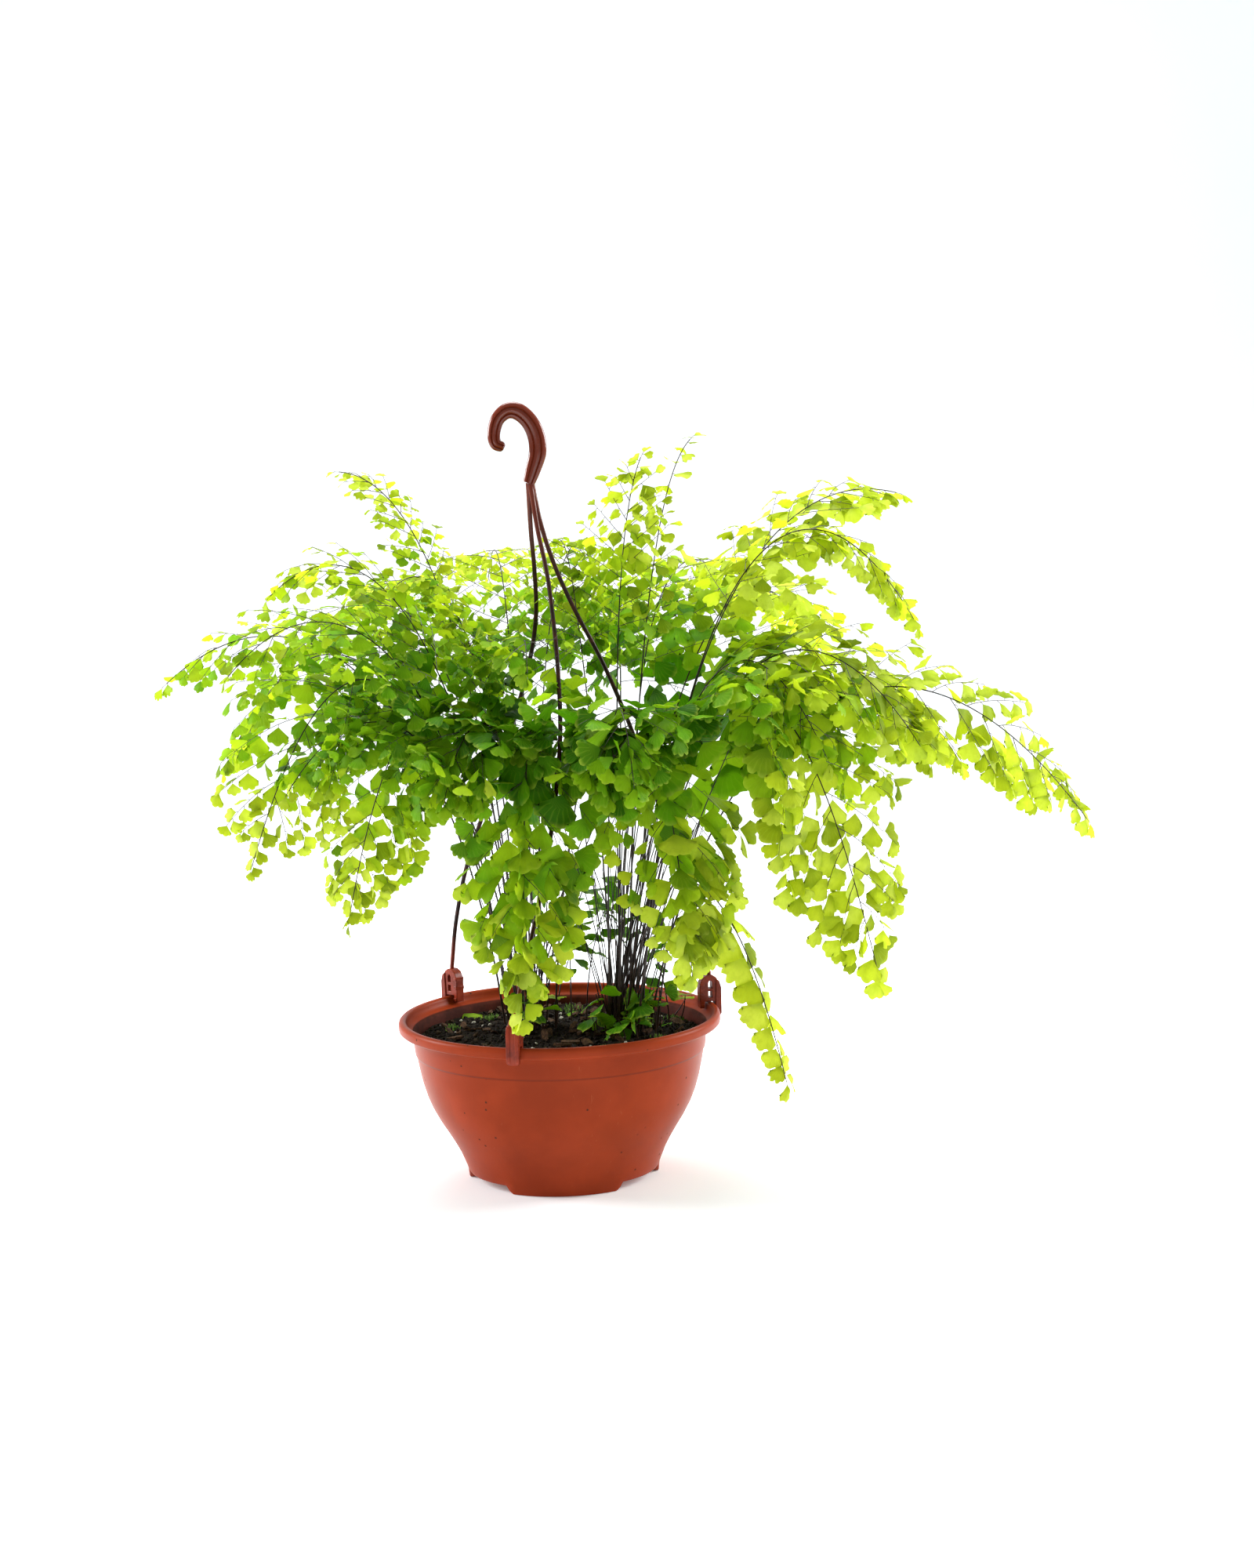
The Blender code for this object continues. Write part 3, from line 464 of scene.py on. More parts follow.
def bowl_finish(settings):
    finish = Finish("terracotta moulded plastic", 0.07)
    x, y, z = finish.split(finish.place)
    mottle = finish.noise(30, 5, 0.58)
    finish.coat(mottle.step(0.36, 0.70), tuple(settings.color), tuple(settings.shade))
    finish.coat(finish.noise(9, 2).step(0.45, 0.75) * 0.22, (0.42, 0.064, 0.019))
    # faint flow streaks down the wall, from the moulding
    stretch = finish.stretched(1, 1, 0.12)
    streak = finish.noise(120, 3, 0.55, stretch)
    finish.coat(streak.step(0.56, 0.74) * 0.16, (0.20, 0.028, 0.009))
    # a hair darker along the step in the wall below the rim: painted shade at the step, which also damps the
    # light its lip catches
    line = z.step(0.0828, 0.0834) * z.step(0.0846, 0.0841)
    finish.coat(line * 0.60, (0.13, 0.018, 0.008))
    # specks of potting mix, and a dark film of it on the inner wall and under the rim, darkened further as
    # painted shade inside the bowl
    speck = finish.cells(120).step(0.12, 0.07) * finish.noise(24, 2).step(0.53, 0.60)
    finish.coat(speck * 0.85, (0.030, 0.016, 0.010))
    radius = (x * x + y * y) ** 0.5
    inside = (radius - z * 0.196).step(0.0770, 0.0762) * z.step(0.060, 0.070)
    film_and_inner_shade = inside * (finish.noise(60, 5, 0.7).step(0.34, 0.66) * 0.16 + 0.82)
    finish.coat(film_and_inner_shade, (0.036, 0.008, 0.005))
    scuff = finish.noise(420, 2, 0.7, stretch).step(0.66, 0.74) * finish.noise(17, 2).step(0.52, 0.64)
    finish.coat(scuff * 0.30, (0.50, 0.13, 0.06))
    rough = 0.30 + mottle * 0.12 + scuff * 0.2 + film_and_inner_shade * 0.35 + speck * 0.3
    return finish.done(rough, finish.bump(finish.noise(900, 2, 0.6) + streak * 0.4, 0.00006, 0.5))


def hanger_finish(settings):
    finish = Finish("brown moulded hanger plastic", 0.20, coat_roughness=0.06)
    z = finish.split(finish.place)[2]
    tone = finish.noise(160, 4, 0.6)
    leg, clip = z.step(0.452, 0.385), z.step(0.150, 0.122)
    finish.coat(leg, tuple(settings.dark), tuple(settings.color))
    finish.coat(tone.step(0.40, 0.72) * 0.35, (0.17, 0.032, 0.015))
    finish.coat(clip, finish.blend(tone.step(0.3, 0.7), (0.160, 0.019, 0.008), (0.310, 0.038, 0.015)))
    wear = finish.noise(700, 2, 0.6).step(0.60, 0.72)
    rough = 0.18 + tone * 0.12 + wear * 0.10 + leg * 0.08
    bump = finish.bump(finish.noise(380, 3, 0.6), 0.00010, 0.5)
    return finish.done(rough, bump, coat_weight=(1 - leg) * 0.55)


def leaflet_finish(settings):
    """Living leaflets: colour by age and painted light, a painted paler margin, painted shade at the foot and
    sides, fan veins, and light that comes through.
    """
    finish = Finish("maidenhair leaflet", 0.07)
    data = finish.node("ShaderNodeAttribute", {"attribute_name": "leaflet"})
    age_and_light, tone, angle = finish.split(data["Color"])
    reach = data["Alpha"]
    # dark inner green to pale outer green, partly by age and partly painted shade inside the plant and
    # painted light outside
    finish.coat(age_and_light.step(-0.05, 0.50), tuple(settings.middle), tuple(settings.old))
    finish.coat(age_and_light.step(0.35, 1.0), tuple(settings.young))
    finish.coat(tone.step(0.50, 0.0) * 0.72, (0.012, 0.062, 0.001))
    finish.coat(tone.step(0.60, 1.0) * 0.42, (0.40, 0.56, 0.010))
    # painted light: near-white yellow on the outermost leaflets, the glare of backlit ones
    finish.coat(age_and_light.step(0.72, 1.0) * tone.step(0.25, 0.80) * 0.55, (0.80, 0.86, 0.20))
    finish.coat(finish.noise(210, 3, 0.6).step(0.42, 0.72) * 0.24, (0.030, 0.120, 0.002))
    # painted shade: darker toward each leaflet's foot
    finish.coat(reach.step(0.60, 0.05) * 0.50, (0.022, 0.095, 0.002))
    # painted shade: a darker outline along the fan's straight sides, as on backlit leaflets
    edge = ((angle - 0.5) * (angle - 0.5)).step(0.028, 0.050) * reach.step(0.15, 0.40)
    finish.coat(edge * 0.45, (0.030, 0.105, 0.002))
    # veins fan out from the base
    vein = angle.math("SINE", angle * 96).step(0.45, 1.0) * reach.step(0.12, 0.45)
    finish.coat(vein * 0.16, (0.40, 0.56, 0.05))
    # painted light: a paler outer margin, the glow of light through the thin edge
    finish.coat(reach.step(0.78, 0.99) * 0.42, (0.60, 0.72, 0.08))
    brown = reach.step(0.92, 1.02) * finish.noise(120, 3, 0.7).step(0.65, 0.72)
    finish.coat(brown * 0.8, (0.26, 0.13, 0.025))
    bump = finish.bump(vein, 0.00009, 0.55, finish.bump(finish.noise(420, 3, 0.6), 0.00016, 0.5))
    finish.done(0.44 + finish.noise(500, 2).step(0.3, 0.7) * 0.14, bump)
    # light through the blade: deep green when old, brighter when young, little at the brown specks
    deep, bright = (finish.node("ShaderNodeBsdfTranslucent", None, {"Color": color, "Normal": bump})[0]
                    for color in ((0.092, 0.305, 0.002, 1), (0.74, 0.90, 0.020, 1)))
    glow = finish.node("ShaderNodeMixShader", None, {0: age_and_light, 1: deep, 2: bright})[0]
    share = (1 - brown * 0.7) * (tone * 0.36 + 0.20)
    blade = Value(finish, finish.shader.outputs[0])
    mixed = finish.node("ShaderNodeMixShader", None, {0: share, 1: blade, 2: glow})[0]
    finish.tree.links.new(mixed.socket, finish.tree.nodes["Material Output"].inputs["Surface"])
    return finish.material


def stalk_finish(settings):
    finish = Finish("black wiry stalk", 0.3)
    tone = finish.noise(300, 3, 0.6)
    finish.coat(tone.step(0.35, 0.75), (0.040, 0.018, 0.012), tuple(settings.stalk))
    finish.coat(finish.split(finish.place)[2].step(0.120, 0.088) * 0.5, (0.050, 0.028, 0.014))
    return finish.done(0.24 + tone * 0.16, finish.bump(finish.noise(1500, 2), 0.00005, 0.4))


def soil_finish(settings):
    finish = Finish("moist potting mix", 0.10)
    grain = finish.noise(700, 6, 0.72)
    finish.coat(grain.step(0.38, 0.68), (0.022, 0.014, 0.008), tuple(settings.color))
    finish.coat(finish.cells(420).step(0.16, 0.06) * 0.5, (0.11, 0.062, 0.034))
    return finish.done(0.78 + grain * 0.2, finish.bump(finish.cells(210) + grain * 0.7, 0.0011, 0.9))


def crumb_finish():
    finish = Finish("crumbs of peat and bark", 0.10)
    tone = finish.split(finish.node("ShaderNodeAttribute", {"attribute_name": "crumb"})["Color"])[0]
    grain = finish.noise(1200, 4, 0.7)
    stops = ((0.0, (0.008, 0.005, 0.004)), (0.45, (0.010, 0.007, 0.0045)), (0.75, (0.025, 0.015, 0.009)),
             (1.0, (0.060, 0.034, 0.019)))
    ramp = finish.node("ShaderNodeValToRGB", {"stops": stops}, {0: tone})[0]
    finish.coat(grain.step(0.4, 0.7) * 0.4, (0.010, 0.006, 0.004), ramp)
    return finish.done(0.72 + grain * 0.22, finish.bump(grain, 0.0004, 0.8))


def bark_finish():
    finish = Finish("bark chips", 0.10)
    grain = finish.noise(900, 5, 0.7, finish.stretched(1, 0.25, 1))
    finish.coat(grain.step(0.36, 0.68), (0.11, 0.058, 0.030), (0.032, 0.015, 0.008))
    return finish.done(0.7 + grain * 0.2, finish.bump(grain, 0.0005, 0.9))


def grit_finish():
    finish = Finish("pale grit and perlite", 0.10)
    grain = finish.noise(800, 5, 0.66)
    finish.coat(grain.step(0.35, 0.7), (0.58, 0.55, 0.50), (0.30, 0.27, 0.23))
    finish.coat(finish.noise(300, 3).step(0.52, 0.66) * 0.6, (0.09, 0.06, 0.04))
    return finish.done(0.6 + grain * 0.25, finish.bump(grain, 0.0004, 0.8))


def moss_finish():
    finish = Finish("moss", 0.25)
    grain = finish.noise(900, 4, 0.7)
    finish.coat(grain.step(0.36, 0.7), (0.17, 0.30, 0.035), (0.035, 0.080, 0.010))
    return finish.done(0.7 + grain * 0.2, finish.bump(grain, 0.0005, 0.8))


def studio_finish(settings):
    finish = Finish("plain studio floor", 0.1, roughness=0.85, emission_strength=0.125,
                    emission_color=(1.0, 1.0, 1.0))
    color = tuple(settings.floor)
    finish.set(base_color=finish.blend(finish.noise(2.5, 2) * 0.03, color, tuple(c * 0.95 for c in color)))
    return finish.material


# ---------------------------------------------------------------- mesh helpers

def loft(rows, sides):
    """Faces of a closed skin over rows of points: the wall between the rows, and both ends."""
    faces = []
    for low in range(0, (rows - 1) * sides, sides):
        high = low + sides
        faces += [(low + j, low + (j + 1) % sides, high + (j + 1) % sides, high + j) for j in range(sides)]
    last = (rows - 1) * sides
    return faces + [tuple(range(sides))[::-1], tuple(range(last, last + sides))]


class Mesh:
    """Collects points and faces, and per point data, of one piece."""

    def __init__(self):
        self.points, self.faces, self.data, self.count = [], [], [], 0

    def add(self, points, faces, data=None):
        self.points.append(np.asarray(points, float))
        self.faces += [tuple(i + self.count for i in face) for face in faces]
        if data is not None:
            self.data.append(np.broadcast_to(np.asarray(data, float), (len(points), 4)))
        self.count += len(points)

    def tube(self, path, radii, sides):
        """A round rod along the path, closed at both ends."""
        path = np.asarray(path, float)
        radii = np.broadcast_to(np.asarray(radii, float), (len(path),))
        tangents = np.gradient(path, axis=0)
        tangents /= np.linalg.norm(tangents, axis=1)[:, None] + TINY
        guide = np.array([0.0, 1.0, 0.0]) if abs(tangents[0][1]) < 0.9 else np.array([1.0, 0.0, 0.0])
        turns = [2 * math.pi * k / sides for k in range(sides)]
        rings = []
        for point, tangent, radius in zip(path, tangents, radii):
            guide = guide - tangent * (guide @ tangent)
            guide /= np.linalg.norm(guide) + TINY
            other = np.cross(tangent, guide)
            rings += [point + radius * (math.cos(a) * guide + math.sin(a) * other) for a in turns]
        self.add(rings, loft(len(path), sides))

    def build(self, name, material, sharp=None, attribute=None):
        mesh = bpy.data.meshes.new(name)
        mesh.from_pydata(np.concatenate(self.points).tolist(), [], self.faces)
        mesh.update()
        if attribute:
            layer = mesh.color_attributes.new(attribute, "FLOAT_COLOR", "POINT")
            layer.data.foreach_set("color", np.concatenate(self.data).astype(np.float32).ravel())
        return add_piece(name, mesh, material, sharp)


def add_piece(name, mesh, material, sharp):
    """A smooth-shaded piece; edges that bend by more than the sharp angle in degrees stay crisp."""
    mesh.polygons.foreach_set("use_smooth", [True] * len(mesh.polygons))
    if sharp:
        mesh.set_sharp_from_angle(angle=math.radians(sharp))
    mesh.materials.append(material)
    piece = bpy.data.objects.new(name, mesh)
    bpy.context.scene.collection.objects.link(piece)
    return piece


def keep(piece, replaces=()):
    """The piece rides on the one body and stands in for the named solids, which it hides."""
    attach(piece, "root")
    if replaces:
        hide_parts(*replaces)


# ---------------------------------------------------------------- the bowl

# (radius, share of the notch's lift, rise over it, least height), in millimetres, over the underside
BOWL_BASE = ((20, 0, 0, 0), (47.6, 0, 0, 0), (48.8, 0.15, 0, 0), (49.4, 0.85, 0, 0), (50.4, 1, 0, 0),
             (60.6, 1, 0, 0), (61.7, 1, 0.25, 0), (62.1, 1, 0.9, 1.2))
# (radius, height) up the outside, in millimetres: bell wall, step line, undercut, rolled rim
BOWL_OUTSIDE = (
    (62.9, 7.5), (64.6, 12.0), (67.3, 18.5), (71.0, 25.4), (75.5, 33.0), (80.2, 40.5), (84.7, 49.0),
    (87.9, 57.0), (90.5, 66.0), (92.6, 76.0), (93.75, 82.8), (94.0, 83.6), (94.55, 84.0), (94.75, 84.7),
    (95.2, 88.4), (95.7, 93.5), (96.2, 96.6), (97.4, 98.2), (99.6, 98.8), (102.6, 98.9), (103.9, 99.2),
    (104.7, 99.9), (105.0, 101.0), (105.0, 103.8), (104.6, 105.2), (103.7, 106.1), (102.4, 106.4),
    (101.1, 106.2), (100.2, 105.5), (99.9, 104.2))
BOWL_INSIDE = ((99.5, 102.6), (98.8, 101.2), (97.2, 99.9), (95.4, 98.8), (94.2, 97.0), (93.7, 92.0),
               (92.3, 84.4), (88.5, 66.4))
FIRST_FOOT, HALF_FOOT, FOOT_SLOPE = 30, 34.0, 2.6


def bowl_mesh(settings, material):
    """Rings from the middle of the underside, round the outside, over the rim and down inside."""
    angles = [2 * math.pi * k / settings.steps for k in range(settings.steps)]
    lifts = []
    for angle in angles:
        # the base's edge is at 0 on the three feet, and at the notch's height between them
        off = (math.degrees(angle) - FIRST_FOOT) % 120
        t = rise(min(off, 120 - off) - HALF_FOOT, FOOT_SLOPE)
        lifts.append(settings.notch * t * t * (3 - 2 * t))
    profile = [*BOWL_BASE, *((r, 1, 1.6, z) for r, z in BOWL_OUTSIDE)]
    profile += [(r, 0, 0, z) for r, z in BOWL_INSIDE]
    mesh = Mesh()
    mesh.add([(r * MM * math.cos(a), r * MM * math.sin(a), max(least * MM, lift * share + over * MM))
              for r, share, over, least in profile for a, lift in zip(angles, lifts)],
             loft(len(profile), settings.steps))
    return mesh.build("bowl", material, 48)


# ---------------------------------------------------------------- the hanger

HOOK_PATH = ((-8.7, 452.5), (-5.9, 460.5), (-2.6, 471.5), (-3.1, 482), (-7.2, 491.5), (-14, 497.9),
             (-21, 498.7), (-27.2, 493.7), (-30, 485.1), (-29.2, 478.3), (-25.2, 475.9))
HOOK_HALF = (3.9, 4.9, 5.7, 5.7, 5.6, 5.6, 5.2, 4.6, 4.2, 4.0, 3.4)
HOOK_DEPTH = 3.9 * MM
CLIP_ANGLES = (134, 254, 14)
# the clip's side view, as (radius, height) in millimetres: its outline, its two slots and a cheek
RIM_IN, RIM_OUT = 98.2, 105.4
CLIP_OUTLINE = (
    (RIM_IN - 3.0, 102.5), (RIM_IN, 102.5), (RIM_IN, 106.8), (RIM_OUT, 106.8), (RIM_OUT, 99.4), (103.6, 97.8),
    (103.6, 96.6), (RIM_OUT + 2.8, 96.4), (RIM_OUT + 3.5, 99.0), (RIM_OUT + 3.4, 117.0),
    (RIM_OUT + 2.6, 120.0), (RIM_OUT + 0.9, 122.8), (103.6, 124.5), (100.4, 124.5), (RIM_IN - 0.9, 122.8),
    (RIM_IN - 2.4, 120.0), (RIM_IN - 3.2, 117.0))
CLIP_SLOTS = (((101.0, 109.4), (103.7, 109.4), (103.7, 113.6), (101.0, 113.6)),
              ((101.0, 115.4), (103.7, 115.4), (103.7, 119.2), (103.0, 120.6), (101.7, 120.6),
               (101.0, 119.2)))
CLIP_CHEEK = ((RIM_OUT + 0.2, 97.4), (RIM_OUT + 3.0, 97.0), (RIM_OUT + 4.2, 98.6), (RIM_OUT + 4.2, 116.0),
              (RIM_OUT + 2.9, 120.4), (RIM_OUT + 0.8, 121.6), (RIM_OUT + 0.2, 107.4))
CLIP_BARS = ((96.6, 104.0), (96.2, 112.0), (96.4, 118.0))
# half widths of the clip, of a cheek and of a bar, and how far a cheek's middle is to the side
CLIP_HALF, CHEEK_HALF, BAR_HALF, CHEEK_SIDE = 3.2, 1.15, 3.6, 2.85


def hook_section(count=40):
    """Three rolled ribs along each face, with two grooves between them, and rounded edges."""
    points = []
    for k in range(count):
        turn = 2 * math.pi * k / count
        x, y = math.cos(turn), math.sin(turn)
        x = math.copysign(abs(x) ** 0.8, x)
        y = math.copysign(abs(y) ** 0.62, y)
        groove = max(0.0, 1 - (abs(abs(x) - 0.36) / 0.17) ** 2)
        points.append((x, y * (1 - 0.30 * groove)))
    return points


def hanger_mesh(settings, material):
    mesh = Mesh()
    path = smooth(np.array([(x, 0, z) for x, z in HOOK_PATH], float) * MM, 7)
    halves = np.interp(np.linspace(0, 1, len(path)), np.linspace(0, 1, len(HOOK_HALF)), HOOK_HALF) * MM
    section, rings, last = hook_section(), [], len(path) - 1
    ends = [(k, 1.0) for k in range(last + 1)] + [(last, 0.86), (last, 0.55)]
    for order, (k, scale) in enumerate(ends):
        tangent = unit(path[min(k + 1, last)] - path[max(k - 1, 0)])
        side = np.cross(tangent, np.array([0.0, 1.0, 0.0]))
        depth = HOOK_DEPTH * (0.82 + 0.18 * min(1, k / 14))
        push = tangent * (order - last) * 0.8 * MM if order > last else 0
        rings += [path[k] + push + side * x * halves[k] * scale + np.array([0, y * depth * scale, 0])
                  for x, y in section]
    mesh.add(rings, loft(len(ends), len(section)))
    for axis in LEG_AXES:
        line = resample(smooth(np.array(axis, float) * MM, 10), 5 * MM)
        line = np.concatenate([line, line[-1:] - UP * 3 * MM])
        mesh.tube(line, settings.leg * (1 + 0.35 * np.exp(-np.arange(len(line)) / 4.0)), 10)
    return mesh.build("hanger_hook_and_legs", material, 40)


def plate(bm, loops, half, middle=0.0):
    """A flat plate across the middle plane, from its outline and holes as (radius, height) in millimetres."""
    spots = [p for loop in loops for p in loop]
    near, far = ([bm.verts.new((r * MM, y * MM, z * MM)) for r, z in spots]
                 for y in (middle - half, middle + half))
    start = 0
    for loop in loops:
        for k in range(len(loop)):
            a, b = start + k, start + (k + 1) % len(loop)
            bm.faces.new((near[a], near[b], far[b], far[a]))
        start += len(loop)
    for tri in tessellate([[Vector((r, z, 0)) for r, z in loop] for loop in loops]):
        bm.faces.new([near[i] for i in tri])
        bm.faces.new([far[i] for i in tri])


def clip_mesh(index, angle, material):
    """An arch over the rim with a slot, a bar across it, and two ribs down its outer leg."""
    name = "hanger_clip_%d" % (index + 1)
    bm = bmesh.new()
    plate(bm, [CLIP_OUTLINE, *CLIP_SLOTS], CLIP_HALF)
    for middle in (-CHEEK_SIDE, CHEEK_SIDE):
        plate(bm, [CLIP_CHEEK], CHEEK_HALF, middle)
    for r, z in CLIP_BARS:
        bar = [(r - 1.2, z - 1.2), (r + 1.6, z - 1.2), (r + 1.6, z + 1.2), (r - 1.2, z + 1.2)]
        plate(bm, [bar], BAR_HALF)
    bmesh.ops.transform(bm, matrix=Matrix.Rotation(math.radians(angle), 4, "Z"), verts=bm.verts)
    bmesh.ops.recalc_face_normals(bm, faces=bm.faces[:])
    mesh = bpy.data.meshes.new(name)
    bm.to_mesh(mesh)
    bm.free()
    piece = add_piece(name, mesh, material, 35)
    edge = piece.modifiers.new("rounded", "BEVEL")
    edge.width, edge.segments, edge.angle_limit = 0.35 * MM, 2, math.radians(35)
    edge.limit_method, edge.harden_normals = "ANGLE", False
    return piece


# ---------------------------------------------------------------- the potting mix

# how far out the mix and the loose bits on it reach
SOIL_EDGE, LOOSE_EDGE = 92.9 * MM, 90 * MM


def soil_height(x, y):
    """The mix's surface: lumpy, heaped a little round the crowns, lower at the wall."""
    height = SOIL_Z + 0.9 * MM * np.sin(x * 95 + 1.0) * np.cos(y * 80) + 0.6 * MM * np.sin(x * 210 + y * 160)
    for cx, cy in CROWNS.values():
        height = height + 3.2 * MM * np.exp(-((x - cx) ** 2 + (y - cy) ** 2) / (20 * MM) ** 2)
    return height - 2.0 * MM * np.clip((np.hypot(x, y) - 75 * MM) / (18 * MM), 0, 1) ** 2 + 0.8 * MM


def on_soil(x, y, above=0.0):
    return np.array([x, y, float(soil_height(np.array(x), np.array(y))) + above])


def soil_bed(material):
    rng = np.random.default_rng(11)
    rings, steps = 46, 160
    radii = SOIL_EDGE * np.linspace(0, 1, rings + 1)[1:] ** 0.9
    r, a = np.meshgrid(radii, np.linspace(0, 2 * math.pi, steps, endpoint=False), indexing="ij")
    x, y = r * np.cos(a), r * np.sin(a)
    z = soil_height(x, y) + rng.normal(0, 0.5 * MM, x.shape)
    top = np.stack([x, y, z], -1).reshape(-1, 3)
    wall, low = (np.stack([x[-1] * scale, y[-1] * scale, np.full(steps, height * MM)], -1)
                 for scale, height in ((0.999, 80), (0.66, 14)))
    points = np.concatenate([top, wall, low, [on_soil(0.0, 0.0)]])
    skin = loft(rings + 2, steps)
    faces = [(a, d, c, b) for a, b, c, d in skin[:-2]]
    faces += [(len(points) - 1, j, (j + 1) % steps) for j in range(steps)]
    mesh = Mesh()
    mesh.add(points, faces + [skin[-1][::-1]])
    return mesh.build("potting_mix", material, 60)


def rough_lump(rng, size, flat):
    """A small uneven lump: a ball of twelve corners, each pushed in or out."""
    t = (1 + 5 ** 0.5) / 2
    points = np.array([(-1, t, 0), (1, t, 0), (-1, -t, 0), (1, -t, 0), (0, -1, t), (0, 1, t), (0, -1, -t),
                       (0, 1, -t), (t, 0, -1), (t, 0, 1), (-t, 0, -1), (-t, 0, 1)]) / 1.9
    points = points * rng.uniform(0.72, 1.25, (12, 1)) * np.array([1, rng.uniform(0.6, 1), flat]) * size / 2
    faces = ((0, 11, 5), (0, 5, 1), (0, 1, 7), (0, 7, 10), (0, 10, 11), (1, 5, 9), (5, 11, 4), (11, 10, 2),
             (10, 7, 6), (7, 1, 8), (3, 9, 4), (3, 4, 2), (3, 2, 6), (3, 6, 8), (3, 8, 9), (4, 9, 5),
             (2, 4, 11), (6, 2, 10), (8, 6, 7), (9, 8, 1))
    return points, faces


def turned_points(points, rng, tilt):
    turn = Euler((rng.uniform(-tilt, tilt), rng.uniform(-tilt, tilt), rng.uniform(0, 6.28))).to_matrix()
    return points @ np.array(turn).T


def random_spot(rng, limit):
    radius, angle = limit * rng.random() ** 0.5, rng.uniform(0, 2 * math.pi)
    return radius * math.cos(angle), radius * math.sin(angle)


def scatter(mesh, rng, count, size, flat, tone, limit=LOOSE_EDGE, sink=0.2):
    for _ in range(count):
        x, y = random_spot(rng, limit)
        wide = rng.uniform(*size) * MM
        points, faces = rough_lump(rng, wide, flat)
        place = on_soil(x, y, wide * flat * (0.5 - sink))
        mesh.add(turned_points(points, rng, 0.5) + place, faces, (rng.uniform(*tone), 0, 0, 1))


def bark_chips(rng, material):
    mesh = Mesh()
    for _ in range(64):
        x, y = random_spot(rng, 88 * MM)
        long, wide, thick = rng.uniform(5, 13) * MM, rng.uniform(2.5, 6) * MM, rng.uniform(0.8, 1.8) * MM
        points, count = [], 5
        for k in range(count):
            s = k / (count - 1) - 0.5
            half = wide / 2 * (1 - 1.3 * s * s + rng.uniform(-0.12, 0.12))
            bend = 0.9 * MM * math.sin(3 * s)
            points += [(s * long, -half, bend), (s * long, half, bend + 0.3 * MM),
                       (s * long, half, bend + thick), (s * long, -half, bend + thick)]
        mesh.add(turned_points(np.array(points), rng, 0.35) + on_soil(x, y, 0.6 * MM), loft(count, 4))
    return mesh.build("bark_chips", material, 40)


def moss_tufts(rng, material):
    """Cushions of short pointed shoots on the mix, mostly near the fuller crown."""
    mesh = Mesh()
    spots = ((57, 12, 12), (78, 34, 9), (66, -30, 7), (-46, 52, 6), (8, 66, 7), (-70, 20, 5), (28, -56, 5))
    for cx, cy, wide in spots:
        for _ in range(int(34 * wide / 5)):
            x, y = cx * MM + rng.normal(0, wide * 0.42) * MM, cy * MM + rng.normal(0, wide * 0.42) * MM
            if math.hypot(x, y) > LOOSE_EDGE:
                continue
            tall, (dx, dy) = rng.uniform(1.6, 4.2) * MM, rng.uniform(-0.8, 0.8, 2) * MM
            bend = np.array([[0, 0, 0], [dx * 0.4, dy * 0.4, tall * 0.6], [dx, dy, tall]])
            mesh.tube(on_soil(x, y, -0.3 * MM) + bend, np.array([0.55, 0.42, 0.08]) * MM, 4)
    return mesh.build("moss_tufts", material, 60)


# ---------------------------------------------------------------- the leaflets

def leaflet_pattern(rng, lobes, depth, spread, cup):
    """A fan-shaped leaflet of unit length: straight sides and a scalloped, finely toothed outer margin."""
    half = math.radians(spread)
    rim = []
    for k in range(21):
        s = k / 20
        scallop = abs(math.sin(math.pi * lobes * s + 0.12 * math.sin(6 * s))) ** 0.6
        reach = 1.0 - depth * (1 - scallop) - 0.20 * abs(2 * s - 1) ** 3.2 + rng.uniform(-0.018, 0.018)
        rim.append((-half + 2 * half * s, reach))
    arcs = [[(t, reach) for t in np.linspace(-half, half, count)] for reach, count in ((0.42, 5), (0.76, 9))]
    rows = [[(-0.030, 0.0), (0.030, 0.0)]]
    rows += [[(reach * math.sin(t), reach * math.cos(t)) for t, reach in arc] for arc in arcs + [rim]]
    x, y = np.array([p for row in rows for p in row]).T
    reach, angle = np.hypot(x, y), np.arctan2(x, y + 1e-6)
    ripple = 0.045 * np.sin(angle * lobes * 3.6 + rng.uniform(0, 6)) * reach ** 3
    faces, start = [], 0
    for low, high in zip(rows, rows[1:]):
        after, i, j, a, b = start + len(low), 0, 0, len(low) - 1, len(high) - 1
        while i < a or j < b:
            if i == a or (j < b and (j + 1) / b <= (i + 1) / a):
                faces.append((start + i, after + j + 1, after + j))
                j += 1
            else:
                faces.append((start + i, start + i + 1, after + j))
                i += 1
        start = after
    top = np.stack([x, y, cup * x * x - 0.24 * y * y + ripple], -1)
    return dict(top=top, faces=faces, angle=angle, reach=reach)


def leaflet_patterns():
    rng = np.random.default_rng(5)
    # scallops, their depth, half the fan's angle in degrees, curl across
    kinds = ((3, 0.20, 50, -0.30), (4, 0.15, 54, -0.45), (2, 0.20, 48, -0.20), (3, 0.14, 56, 0.20),
             (5, 0.13, 57, -0.40), (3, 0.22, 46, 0.25), (4, 0.19, 50, -0.10), (3, 0.18, 53, -0.55))
    return [leaflet_pattern(rng, *kind) for kind in kinds]


def place_leaflet(mesh, pattern, base, axis, face, size, info, wide=1.0):
    """A leaflet with its foot at the base; info is its age with painted light and shade, and its tone, both
    from 0 to 1.
    """
    spin = np.stack([-np.cross(face, axis), axis, face])
    data = np.empty((len(pattern["top"]), 4))
    data[:, 0], data[:, 1] = info
    data[:, 2] = pattern["angle"] * 0.25 + 0.5
    data[:, 3] = pattern["reach"]
    mesh.add((pattern["top"] * [size * wide, size, size]) @ spin + base, pattern["faces"], data)


# ---------------------------------------------------------------- the fronds

